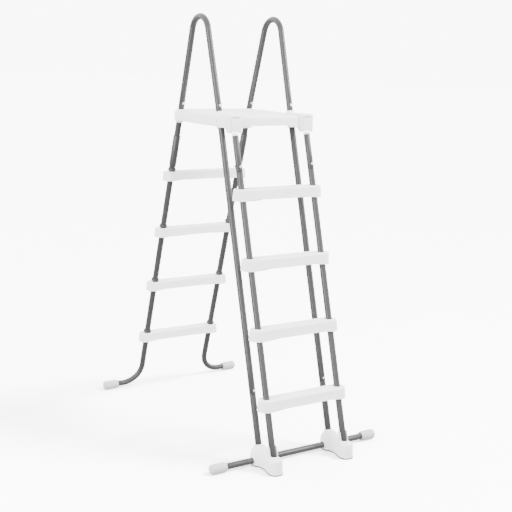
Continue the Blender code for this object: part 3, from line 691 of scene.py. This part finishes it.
def build_step(name, node, line, recess):
    """A moulded step, ribbed on top and hollow below."""
    wall = 0.0032
    web_pitch = 0.055
    centre = middle(node)
    low_z = low(node).z
    top_z = high(node).z
    end_r = 0.5 * (high(node).y - low(node).y)
    step = step_shell(name, node, recess)
    fuse(step, tread_ribs(centre, RAIL_X - 0.024, end_r - 0.013, top_z, 9))
    hollow_half_y = end_r - recess - wall - 0.003
    hollow_y = (centre.y - hollow_half_y, centre.y + hollow_half_y)
    cut(step, slab("hollow", centre.x, RAIL_X - 0.022, hollow_y, (low_z - PAST, top_z - wall), 0.006))
    for side in SIDES:
        cut(step, rod(line, side, low_z - 0.03, top_z + 0.03, TUBE_HOLE_R))
    web_y = (hollow_y[0] - 0.001, hollow_y[1] + 0.001)
    webs = [slab("web", centre.x + number * web_pitch, 0.001, web_y, (low_z + 0.008, top_z - wall + 0.001),
                 0.0005) for number in range(-2, 3)]
    fuse(step, joined("webs", webs))
    dress(step, node, "white_plastic", body_of(line))


def build_collars():
    """Dark collars on the legs above the back steps."""
    bore = TUBE_R + GAP
    length = 0.0115
    profile = [(0.0, bore), (0.0, 0.0176, 0.0012), (0.0035, 0.0178, 0.001),
               (length, 0.0148, 0.0012), (length, bore), (0.0, bore)]
    for number in STEPS:
        base_z = high("back_step_%d" % number).z + 0.0056
        for side in SIDES:
            base, axis = stretch_of(back_leg, side, base_z, base_z + 0.1)
            collar = turned("step_collar_%d_%s" % (number, side), base, axis, profile)
            dress(collar, "back_step_%d_collar_%s" % (number, side), "collar_plastic")


# Fasteners

def build_bolt(name, node, line, side, z, head_r):
    """Domed cross head and washer in front, cap nut behind."""
    seat = TUBE_R + GAP
    shank_r = 0.0021
    nut_r = 0.005
    washer_r = head_r + 0.0009
    centre, along = stretch_of(line, side, z, z + 0.01)
    axis = X_AXIS.cross(along.normalized()).normalized()
    profile = [
        (-seat - 0.0056, 0.0006), (-seat - 0.0052, 0.0026, 0.002), (-seat - 0.0014, 0.0042, 0.0006),
        (-seat - 0.0012, nut_r, 0.0003), (-seat, nut_r, 0.0002), (-seat, shank_r), (seat, shank_r),
        (seat, washer_r, 0.0002), (seat + 0.0008, washer_r, 0.0002), (seat + 0.0009, head_r, 0.0001),
        (seat + 0.0026, head_r, 0.0012), (seat + 0.0042, 0.55 * head_r, 0.0014), (seat + 0.0043, 0.0006),
    ]
    bolt = turned(name, centre, axis, profile, 24)
    tip = centre + axis * (seat + 0.004)
    turn = Matrix((X_AXIS, axis.cross(X_AXIS), axis)).transposed().to_4x4()
    for angle in (0.0, QUARTER):
        recess = slab("recess", 0.0, 0.62 * head_r, (-0.0004, 0.0004), (-0.0012, 0.002), 0.0002)
        recess.matrix_world = Matrix.Translation(tip) @ turn @ Matrix.Rotation(angle, 4, "Z")
        bpy.context.view_layer.update()
        cut(bolt, recess)
    dress(bolt, node, "bolt_steel", body_of(line))


def build_bolts(side):
    for name, node, line, z, head_r in (
        ("hoop_front_screw_", "handrail_front_bolt_", front_leg, 1.379, 0.005),
        ("hoop_back_screw_", "handrail_back_bolt_", back_leg, 1.3755, 0.005),
        ("leg_screw_", "front_leg_bolt_", front_leg, 0.2805, 0.0042),
        ("rail_screw_", "rail_bolt_", rail_line, 1.1525, 0.0042),
    ):
        build_bolt(name + side, node + side, line, side, z, head_r)


# Deck

def deck_outline(inset, z):
    """Plan of the deck: tight front corners, round rear corners."""
    half_x = 0.5 * (DECK_HIGH.x - DECK_LOW.x) - inset
    front_y = DECK_LOW.y + inset
    back_y = DECK_HIGH.y - inset
    front_r = max(0.012 - 0.6 * inset, 0.002)
    back_r = max(0.044 - 0.6 * inset, 0.004)
    corners = [
        (half_x - back_r, back_y - back_r, back_r, 0.0),
        (-half_x + back_r, back_y - back_r, back_r, QUARTER),
        (-half_x + front_r, front_y + front_r, front_r, pi),
        (half_x - front_r, front_y + front_r, front_r, 1.5 * pi),
    ]
    return [Vector((centre_x + radius * cos(angle), centre_y + radius * sin(angle), z))
            for centre_x, centre_y, radius, start in corners for angle in spaced(start, QUARTER, 10)]


def deck_shell():
    """The deck's outside: drafted skirt, eased edge and raised field."""
    edge = 0.009
    draft = 0.0015
    edge_z = DECK_SHOULDER_Z - edge
    levels = [(DECK_LOW.z, 0.001), (DECK_LOW.z + 0.0008, 0.0002), (DECK_LOW.z + 0.002, 0.0),
              (DECK_LOW.z + 0.5 * (edge_z - DECK_LOW.z), 0.0004), (edge_z, draft)]
    for angle in spaced(0.0, QUARTER, 7)[1:]:
        levels.append((edge_z + edge * sin(angle), draft + edge * (1.0 - cos(angle))))
    levels += [(DECK_SHOULDER_Z + 0.0006, 0.018), (DECK_SHOULDER_Z + 0.0003, 0.0185),
               (DECK_SHOULDER_Z + 0.0012, 0.0195), (DECK_SHOULDER_Z + 0.0016, 0.045), (DECK_TOP_Z, 0.075)]
    return loft("deck_moulding", [deck_outline(inset, z) for z, inset in levels], 26.0)


def deck_ribs():
    front_y = DECK_LOW.y + 0.075
    back_y = DECK_HIGH.y - 0.04
    centre = Vector((0.0, 0.5 * (front_y + back_y), 0.0))
    return tread_ribs(centre, 0.138, 0.5 * (back_y - front_y), DECK_TOP_Z - 0.0004, 31)


def deck_hollow():
    """The room under the deck, less sleeves and webs."""
    wall = 0.0035
    sleeve_r = 0.018
    web_half = 0.0012
    web_low_z = DECK_LOW.z + 0.006
    levels = (DECK_LOW.z - PAST, DECK_SHOULDER_Z - wall)
    hollow = loft("hollow", [deck_outline(wall + 0.0015, z) for z in levels])
    sleeves = [rod(line, side, DECK_LOW.z - 0.02, DECK_TOP_Z, sleeve_r)
               for line in FIXED_LEGS for side in SIDES]
    cut(hollow, joined("sleeves", sleeves))
    long_y = (DECK_LOW.y - PAST, DECK_HIGH.y + PAST)
    long_webs = [slab("web", x, web_half, long_y, (web_low_z, DECK_TOP_Z), 0.0004)
                 for x in (-0.105, -0.035, 0.035, 0.105)]
    cut(hollow, joined("long_webs", long_webs))
    cross_webs = []
    for share in (0.32, 0.55, 0.78):
        y = DECK_LOW.y + share * (DECK_HIGH.y - DECK_LOW.y)
        cross_webs.append(slab("web", 0.0, 0.3, (y - web_half, y + web_half),
                               (web_low_z + 0.001, DECK_TOP_Z), 0.0004))
    cut(hollow, joined("cross_webs", cross_webs))
    return hollow


def add_leg_rim(deck, side):
    """Raised rim round the front leg's hole."""
    base, axis = stretch_of(front_leg, side, DECK_TOP_Z - 0.006, DECK_HIGH.z - 0.0045)
    profile = [(0.0, 0.001), (0.0, 0.0185), (0.004, 0.0185, 0.002),
               (axis.length, 0.0172, 0.0015), (axis.length, 0.001)]
    fuse(deck, turned("rim", base, axis, profile))


def cut_deck_side(deck, side, sign):
    """The latch's notch, the screw hole in the side and the leg holes."""
    housing_low = low("latch_housing_" + side)
    housing_high = high("latch_housing_" + side)
    notch = rounded_block("notch", (housing_low.x - GAP, housing_low.y - 0.03, DECK_LOW.z - 0.02),
                          (housing_high.x + GAP, housing_high.y + GAP, DECK_TOP_Z + 0.02), 0.002)
    cut(deck, notch)
    screw_hole_r = 0.0045
    screw_hole = turned("screw_hole", Vector((sign * 0.198, FRONT_Y + 0.35, 1.3235)),
                        sign * X_AXIS, [(0.0, screw_hole_r), (0.015, screw_hole_r)], 20, Z_AXIS)
    cut(deck, screw_hole)
    for line in FIXED_LEGS:
        cut(deck, rod(line, side, DECK_LOW.z - 0.05, DECK_TOP_Z + 0.05, DECK_HOLE_R))


def add_sleeve_end(deck, line, side):
    """End of a leg sleeve, a little below the skirt."""
    length = 0.014
    base, axis = stretch_of(line, side, DECK_LOW.z - 0.008, DECK_TOP_Z)
    profile = [(0.0, DECK_HOLE_R), (0.0, 0.0172, 0.001), (length, 0.0178),
               (length, DECK_HOLE_R), (0.0, DECK_HOLE_R)]
    fuse(deck, turned("sleeve_end", base, axis, profile))


def build_deck():
    deck = deck_shell()
    fuse(deck, deck_ribs())
    cut(deck, deck_hollow())
    arch = slab("arch", 0.0, 0.092, (DECK_LOW.y - 0.02, DECK_LOW.y + 0.007),
                (DECK_LOW.z - 0.02, DECK_LOW.z + 0.007), 0.006, "y")
    cut(deck, arch)
    for side in SIDES:
        add_leg_rim(deck, side)
    for side, sign in SIDES.items():
        cut_deck_side(deck, side, sign)
    for side in SIDES:
        for line in FIXED_LEGS:
            add_sleeve_end(deck, line, side)
    apply_modifiers(deck, 26.0)
    dress(deck, "deck", "white_plastic")


# Latches

def housing_profile(box_low, box_high, lip_y):
    """Side view of a latch cover, which sweeps under the deck's skirt."""
    skirt_z = DECK_LOW.z
    profile = []

    def corner(y, z, radius, start):
        for angle in spaced(start, QUARTER, 5):
            profile.append((y + radius * cos(angle), z + radius * sin(angle)))

    corner(box_low.y + 0.005, box_low.z + 0.005, 0.005, pi)
    for share in spaced(0.0, 1.0, 8):
        z = box_low.z + (skirt_z - box_low.z) * smooth(share)
        profile.append((lip_y - 0.01 + 0.024 * share, z))
    corner(box_high.y - 0.001, skirt_z + 0.001, 0.001, 1.5 * pi)
    corner(box_high.y - 0.003, box_high.z - 0.003, 0.003, 0.0)
    corner(box_low.y + 0.006, box_high.z - 0.006, 0.006, QUARTER)
    return profile


def build_latch_housing(side):
    """Hollow cover in the deck's front edge, with a mouth for the rail."""
    node = "latch_housing_" + side
    box_low = low(node)
    box_high = high(node)
    x = middle(node).x
    half_x = 0.5 * (box_high.x - box_low.x)
    lip_y = box_low.y + 0.0255
    edge = 0.003
    profile = housing_profile(box_low, box_high, lip_y)
    centre_y = sum(y for y, z in profile) / len(profile)
    centre_z = sum(z for y, z in profile) / len(profile)
    stations = [(half_x - edge + edge * sin(angle), edge * (1.0 - cos(angle)))
                for angle in spaced(0.0, QUARTER, 4)]
    rings = []
    for along, inset in [(-along, inset) for along, inset in stations[::-1]] + stations:
        ring = []
        for y, z in profile:
            away = Vector((y - centre_y, z - centre_z))
            away *= 1.0 - inset / away.length
            ring.append(Vector((x + along, centre_y + away.x, centre_z + away.y)))
        rings.append(ring)
    housing = loft("latch_cover_" + side, rings)
    roof_z = 1.3473
    inside_y = box_low.y + LATCH_WALL
    front = (box_low.y - PAST, inside_y + 0.002)
    for tool in (
        slab("cavity", x, half_x - LATCH_WALL, (inside_y, lip_y - LATCH_WALL),
             (box_low.z - PAST, roof_z), 0.003),
        slab("mouth", x, 0.015, front, (box_low.z - 2 * PAST, 1.287), 0.003, "y"),
        slab("window", x, 0.01, front, (1.283, 1.3215), 0.001, "y"),
        slab("slot", x, 0.0185, (box_low.y - 0.002, front[1]), (1.3412, 1.344), 0.0012, "y"),
    ):
        cut(housing, tool)
    dress(housing, node, "white_plastic")


def build_latch_tab(side):
    """Gripped plate outside, stem through the window, carrier inside."""
    node = "latch_tab_" + side
    tab_low = low(node)
    tab_high = high(node)
    face_y = low("latch_housing_" + side).y
    inside_y = face_y + LATCH_WALL
    x = middle("latch_housing_" + side).x
    grip_r = 0.0009
    grip_length = 0.026
    grip_profile = [(0.0, 0.0002), (0.0, grip_r, 0.0007), (grip_length, grip_r, 0.0007),
                    (grip_length, 0.0002)]
    plate = rounded_block("latch_slider_" + side, tab_low, (tab_high.x, face_y - GAP, tab_high.z),
                          0.0035, "y", 8)
    grips = []
    for number in range(5):
        end = Vector((x - 0.5 * grip_length, tab_low.y + 0.0002, tab_low.z + 0.008 + 0.0042 * number))
        grips.append(turned("grip", end, X_AXIS, grip_profile, 12, Y_AXIS))
    for part in (
        joined("grips", grips),
        slab("stem", x, 0.009, (tab_low.y + 0.001, inside_y + 0.004),
             (tab_low.z + 0.001, 1.3115), 0.001, "y"),
        slab("carrier", x, 0.019, (inside_y + GAP, tab_high.y), (tab_low.z, 1.3135), 0.002),
    ):
        fuse(plate, part)
    dress(plate, node, "white_plastic", "latch_" + side)


def build_latch_spring(side):
    """Coil spring with closed end turns."""
    node = "latch_spring_" + side
    spring_low = low(node)
    spring_high = high(node)
    x = middle("latch_housing_" + side).x
    y = middle(node).y
    height = spring_high.z - spring_low.z
    wire_r = 0.0007
    coil_r = 0.5 * (spring_high.x - spring_low.x) - wire_r
    turns = 6.5
    dead_share = 0.12
    path = []
    for share in spaced(0.0, 1.0, round(turns * 20)):
        climb = clamped((share - dead_share) / (1.0 - 2 * dead_share))
        angle = 2 * pi * turns * share
        z = spring_low.z + 1.5 * wire_r + (height - 3.0 * wire_r) * (0.06 * share + 0.94 * climb)
        path.append(Vector((x + coil_r * cos(angle), y + coil_r * sin(angle), z)))
    rings = [circle(point, cross, wire_r, 8) for point, cross in zip(path, frames_along(path, Z_AXIS))]
    spring = loft("latch_coil_" + side, rings, 60.0)
    dress(spring, node, "spring_steel")
    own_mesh(spring)


# Removable rail ends

def build_plugs(side):
    end, axis = stretch_of(rail_line, side, RAIL_END_Z, 2.0)
    shank_r = 0.0106
    collar_r = 0.0135
    profile = [(-0.03, 0.005), (-0.03, shank_r, 0.001), (GAP, shank_r), (GAP, collar_r, 0.0006),
               (0.0083, collar_r, 0.0012), (0.0086, 0.0082, 0.0004), (0.012, 0.008, 0.0015),
               (0.0123, 0.001)]
    plug = turned("rail_end_plug_" + side, end, axis, profile)
    dress(plug, "rail_top_plug_" + side, "white_plastic", "removable_steps")
    ball_r = 0.0122
    ball = [(ball_r * sin(radians(angle)), ball_r * cos(radians(angle)))
            for angle in spaced(-82.0, 118.0, 14)]
    shank = [(ball_r, shank_r), (ball_r + 0.029, shank_r), (ball_r + 0.03, shank_r - 0.001)]
    foot = turned("rail_foot_plug_" + side, rail_line(side, PIVOT_Z), axis, ball + shank)
    dress(foot, "rail_bottom_plug_" + side, "white_plastic", "removable_steps")


# Base brackets

def smooth_stations(stations, per_gap):
    """Catmull-Rom points between given stations."""
    result = []
    padded = [stations[0]] + stations + [stations[-1]]
    for rows in zip(padded, padded[1:], padded[2:], padded[3:]):
        for t in spaced(0.0, 1.0, per_gap)[:-1]:
            result.append(tuple(0.5 * (2 * b + (c - a) * t + (2 * a - 5 * b + 4 * c - d) * t * t
                                       + (3 * b - a - 3 * c + d) * t ** 3) for a, b, c, d in zip(*rows)))
    result.append(stations[-1])
    return result


# (Y from the fixed leg's axis at the floor, half width, height)
BRACKET_STATIONS = smooth_stations([
    (0.049, 0.011, 0.03), (0.0465, 0.018, 0.043), (0.041, 0.026, 0.057),
    (0.032, 0.032, 0.0685), (0.019, 0.0352, 0.076), (0.005, 0.036, 0.0775),
    (-0.008, 0.0345, 0.0765), (-0.017, 0.029, 0.074), (-0.026, 0.0235, 0.071),
    (-0.039, 0.0205, 0.0685), (-0.055, 0.02, 0.068), (-0.071, 0.0225, 0.0695),
    (-0.086, 0.0262, 0.0705), (-0.102, 0.0282, 0.0705), (-0.115, 0.0262, 0.0695),
    (-0.124, 0.021, 0.0665), (-0.1295, 0.0135, 0.061), (-0.1315, 0.007, 0.053),
], 4)


def bracket_section(x, station, base_z):
    """An arch across the bracket, flared at its foot."""
    y, half_width, height = station
    power = 2.0 / 3.0
    flare = 0.0012
    segments = 40
    section = []
    for step, angle in enumerate(spaced(0.0, pi, segments)):
        up = sin(angle) ** power if 0 < step < segments else 0.0
        foot = flare * max(1.0 - 8.0 * up, 0.0) ** 2
        aside = signed_power(cos(angle), power) * (half_width - flare + foot)
        section.append(Vector((x + aside, FRONT_Y + y, base_z + (height - base_z) * up)))
    return section


def toe_band(x, z):
    """One raised moulding line round the bracket's toe."""
    toe_y = FRONT_Y - 0.1035
    rings = []
    for up, swell in ((-0.0011, -0.0006), (-0.0004, 0.0005), (0.0004, 0.0005), (0.0011, -0.0006)):
        radius = 0.0272 + swell
        ring = [Vector((x + radius * cos(angle), toe_y + radius * sin(angle), z + up))
                for angle in spaced(pi, pi, 32)]
        rings.append(ring + [Vector((x + 0.01, toe_y, z + up)), Vector((x - 0.01, toe_y, z + up))])
    return loft("band", rings)


def tilt_socket(side):
    """Room for the rail's foot at rest and at full tilt."""
    pivot = rail_line(side, PIVOT_Z)
    tilt_slope = 0.055
    clear_r = 0.0136
    rings = []
    for z in (PIVOT_Z - 0.013, PIVOT_Z, EAR_TOP_Z):
        rise = max(z - PIVOT_Z, 0.0)
        ring = []
        for angle in spaced(pi / FINE_SIDES, 2 * pi, FINE_SIDES)[:-1]:
            slope = SLOPE if sin(angle) > 0.0 else tilt_slope
            ring.append(Vector((pivot.x + clear_r * cos(angle),
                                pivot.y + slope * rise + 1.05 * clear_r * sin(angle), z)))
        rings.append(ring)
    return loft("tilt_socket", rings)


def build_ear(side, sign):
    """Lug beside the tilting rail, leaning with it."""
    half_x = 0.002
    half_y = 0.008
    corners = 16
    rings = []
    for z, share in ((PIVOT_Z, 1.0), (EAR_TOP_Z - 0.0075, 1.0), (EAR_TOP_Z - 0.0045, 0.92),
                     (EAR_TOP_Z - 0.0018, 0.7), (EAR_TOP_Z - 0.0003, 0.35)):
        centre = rail_line(side, z) + sign * 0.017 * X_AXIS
        ring = []
        for angle in spaced(pi / corners, 2 * pi, corners)[:-1]:
            ring.append(centre + Vector((half_x * signed_power(cos(angle), 0.5),
                                         half_y * share * signed_power(sin(angle), 0.5), 0.0)))
        rings.append(ring)
    return loft("ear", rings)


def cross_flange(x, base_z):
    """Collar round the cross tube, cut level with the pad."""
    half = 0.0368
    start_r = 0.01
    profile = [(0.0, start_r), (0.0, 0.0178, 0.0012), (0.004, 0.019, 0.001),
               (2 * half - 0.004, 0.019, 0.001), (2 * half, 0.0178, 0.0012), (2 * half, start_r)]
    flange = turned("flange", Vector((x - half, CROSS_TUBE_Y, FLOOR_TUBE_Z)), X_AXIS, profile, 48, Z_AXIS)
    cut(flange, slab("trim", x, 0.08, (CROSS_TUBE_Y - 0.05, CROSS_TUBE_Y + 0.05),
                         (-0.05, base_z), 0.001))
    return flange


def build_bracket(side):
    """Moulded shoe over the cross tube, with ears beside the tilting rail."""
    node = "base_bracket_" + side
    x = middle(node).x
    base_z = low(node).z
    sections = [bracket_section(x, station, base_z) for station in BRACKET_STATIONS]
    bracket = loft("base_shoe_" + side, sections, 40.0)
    fuse(bracket, cross_flange(x, base_z))
    base, axis = stretch_of(front_leg, side, 0.05, 0.1)
    rim_profile = [(0.0, 0.01), (0.0, 0.019), (0.027, 0.0172, 0.0015), (0.0275, 0.01)]
    fuse(bracket, turned("rim", base, axis, rim_profile))
    for number in range(3):
        fuse(bracket, toe_band(x, 0.0375 + 0.0095 * number))
    knob_profile = [(0.0, 0.0006), (0.0, 0.0034), (0.0036, 0.003, 0.0014), (0.0038, 0.0006)]
    for sign in (-1.0, 1.0):
        fuse(bracket, build_ear(side, sign))
        for z in (0.0765, 0.0955):
            base = rail_line(side, z) + Vector((sign * 0.018, -0.002, 0.0))
            knob = turned("knob", base, sign * X_AXIS, knob_profile, 16, Y_AXIS)
            fuse(bracket, knob)
    cut(bracket, tilt_socket(side))
    cut(bracket, rod(front_leg, side, 0.0365, 0.17, TUBE_HOLE_R))
    cut(bracket, turned("cross_hole", Vector((x - 0.09, CROSS_TUBE_Y, FLOOR_TUBE_Z)), X_AXIS,
                            [(0.0, TUBE_HOLE_R), (0.18, TUBE_HOLE_R)], FINE_SIDES, Z_AXIS))
    apply_modifiers(bracket, 40.0)
    dress(bracket, node, "white_plastic")


def build_pad(side):
    """Black pad under the bracket, with cross grooves below."""
    node = "base_bracket_" + side
    x = middle(node).x
    top_z = low(node).z - GAP
    overhang = 0.001
    edge = 0.0006
    edge_inset = 0.0008
    outline = [(half + overhang, y) for y, half, _ in BRACKET_STATIONS[::-1]]
    outline += [(-half - overhang, y) for y, half, _ in BRACKET_STATIONS]
    rings = []
    for z, inset in ((0.0, edge_inset), (edge, 0.0), (top_z - edge, 0.0), (top_z, edge_inset)):
        rings.append([Vector((x + half * (1.0 - inset / max(abs(half), 0.01)), FRONT_Y + y, z))
                      for half, y in outline])
    pad = loft("floor_pad_" + side, rings)
    grooves = []
    for number in range(9):
        y = FRONT_Y + 0.03 - 0.018 * number
        grooves.append(slab("groove", x, 0.014, (y - 0.0015, y + 0.0015), (-0.002, 0.0016), 0.001))
    cut(pad, joined("grooves", grooves))
    dress(pad, "base_pad_" + side, "pad_rubber")


def build_cap(name, node, sign):
    """Milky end cap: collar, barrel, domed tip and anti-slip dots."""
    box_low = low(node)
    box_high = high(node)
    centre = middle(node)
    length = box_high.x - box_low.x
    bore = TUBE_R + GAP
    bottom = 0.06 - length
    dot_lift = 0.0006
    barrel_r = 0.5 * (box_high.z - box_low.z) - dot_lift
    tip = Vector((box_high.x if sign > 0 else box_low.x, centre.y, centre.z))
    axis = sign * X_AXIS
    profile = rounded([
        (bottom, 0.0006), (bottom, bore), (-length, bore), (-length, 0.0176, 0.001),
        (-length + 0.004, 0.0186, 0.001), (-length + 0.0055, 0.0183, 0.001),
        (-length + 0.012, barrel_r, 0.005), (-0.007, barrel_r, 0.006), (-0.0012, 0.016, 0.004),
        (0.0, 0.003),
    ], 6)
    cap = turned(name, tip, axis, profile, 48, Z_AXIS)
    dots = []
    per_row = 12
    for row in range(4):
        along = -length + 0.022 + 0.0095 * row
        for number in range(per_row):
            angle = 2 * pi * (number + 0.5 * (row % 2)) / per_row
            out = Vector((0.0, sin(angle), cos(angle)))
            if out.z < -0.6:
                continue
            at = tip + axis * along + out * (barrel_r - 0.001)
            dots.append(turned("dot", at, out, [(0.0, 0.0016), (0.0013, 0.0014), (0.0016, 0.0006)], 8))
    fuse(cap, joined("dots", dots))
    dress(cap, node, "cap_plastic")


# Camera, floor and light

FLOOR_GLOW = 1.0
DOME_GLOW = 9.2
STAGE_RADIUS = 45.0
STAGE_SIDES = 96
WHITE = (1.0, 1.0, 1.0, 1.0)


def build_camera():
    """Camera a little above the deck, ahead and to the left of the ladder."""
    yaw = radians(-32.757)
    pitch = radians(-11.748)
    roll = radians(1.786)
    forward = Vector((-sin(yaw) * cos(pitch), cos(yaw) * cos(pitch), sin(pitch)))
    right = Vector((cos(yaw), sin(yaw), 0.0))
    up = right.cross(forward)
    rolled_right = cos(roll) * right + sin(roll) * up
    rolled_up = -sin(roll) * right + cos(roll) * up
    rotation = Matrix((rolled_right, rolled_up, -forward)).transposed().to_4x4()
    data = bpy.data.cameras.new("camera")
    data.lens = 70.57
    data.sensor_width = 36.0
    data.clip_end = 200.0
    place = Matrix.Translation((-2.2225, -3.594, 1.6146))
    bpy.context.scene.camera = link_object("camera", data, place @ rotation)


def stage_object(name, points, faces, tone, glow):
    """A surface the camera sees but that throws no light on the ladder."""
    obj = add_object(name, points, faces)
    shader = Shader(name + "_paper", 0.75, 0.0)
    shader.set("Emission Color", WHITE)
    shader.set("Emission Strength", glow)
    colour = shader.ramp(shader.noise(2.0, 3.0), (0.3, 3 * (0.98 * tone,)), (0.7, 3 * (tone,)))
    obj.data.materials.append(shader.finish(colour))
    obj.visible_diffuse = False
    obj.visible_glossy = False
    obj.visible_transmission = False
    return obj


def stage_ring(height, radius):
    return circle(Vector((0.0, 0.0, height)), (X_AXIS, Y_AXIS), radius, STAGE_SIDES)


def build_floor():
    """Pale floor and dome, bright enough that no horizon shows."""
    rim = stage_ring(0.0, STAGE_RADIUS)
    floor = stage_object("studio_floor", rim, [tuple(range(STAGE_SIDES))], 0.94, FLOOR_GLOW)
    rings = [stage_ring(STAGE_RADIUS * sin(angle) - 0.01, 1.001 * STAGE_RADIUS * cos(angle))
             for angle in spaced(0.0, QUARTER, 14)[:-1]]
    points = [point for ring in rings for point in ring]
    faces = skin(rings) + [tuple(range(len(points) - STAGE_SIDES, len(points)))]
    dome = stage_object("studio_dome", points, faces, 0.0, DOME_GLOW)
    dome.visible_shadow = False
    return floor


def aimed(direction):
    """Rotation of a lamp that shines along a direction."""
    return direction.to_track_quat("-Z", "Y").to_matrix().to_4x4()


def area_light(name, place, target, size, power):
    data = bpy.data.lights.new(name, "AREA")
    data.shape = "RECTANGLE"
    data.size, data.size_y = size
    data.energy = power
    link_object(name, data, Matrix.Translation(place) @ aimed(Vector(target) - Vector(place)))


def build_floor_wash(floor):
    """A soft sun on the floor alone, for the ladder's shadow."""
    data = bpy.data.lights.new("floor_wash", "SUN")
    data.energy = 17.0
    data.angle = radians(16.0)
    light = link_object("floor_wash", data, aimed(Vector((-0.62, 0.35, -1.0))))
    receivers = bpy.data.collections.new("washed_floor")
    receivers.objects.link(floor)
    light.light_linking.receiver_collection = receivers


def build_light():
    """Surround brighter behind the ladder, dimmer below, and two soft boxes."""
    world = bpy.data.worlds.new("studio")
    bpy.context.scene.world = world
    world.use_nodes = True
    wiring = Wiring(world.node_tree)
    background = wiring.nodes["Background"]
    background.inputs["Color"].default_value = WHITE
    direction = wiring.nodes.new("ShaderNodeTexCoord").outputs["Generated"]
    toward = wiring.add("VectorMath", {1: (0.541, 0.841, 0.0)}, {0: direction})
    toward.operation = "DOT_PRODUCT"
    behind = wiring.spread(toward.outputs["Value"], -0.35, 0.75, 3.8, 6.4)
    above = wiring.spread(wiring.height_of(direction), -0.3, 0.1, 0.35, 1.0)
    strength = wiring.add("Math", {}, {0: behind, 1: above})
    strength.operation = "MULTIPLY"
    wiring.links.new(strength.outputs["Value"], background.inputs["Strength"])
    area_light("key", (2.6, -2.8, 3.4), (0.0, 0.0, 0.7), (1.6, 1.6), 380.0)
    area_light("left_strip", (-3.4, -1.0, 1.6), (0.0, 0.0, 0.9), (0.5, 3.0), 220.0)


def main():
    for side, sign in SIDES.items():
        for build in (build_handrail, build_back_leg, build_straight_tubes, build_bolts,
                      build_latch_housing, build_latch_tab, build_latch_spring, build_plugs,
                      build_bracket, build_pad):
            build(side)
        build_cap("back_cap_" + side, "back_foot_cap_" + side, sign)
        build_cap("cross_cap_" + side, "cross_tube_cap_" + side, sign)
    build_cross_tube()
    build_deck()
    for number in STEPS:
        build_step("front_tread_%d" % number, "removable_step_%d" % number, rail_line, 0.0012)
        build_step("rear_tread_%d" % number, "back_step_%d" % number, back_leg, 0.0035)
    build_collars()
    build_camera()
    build_floor_wash(build_floor())
    build_light()


main()
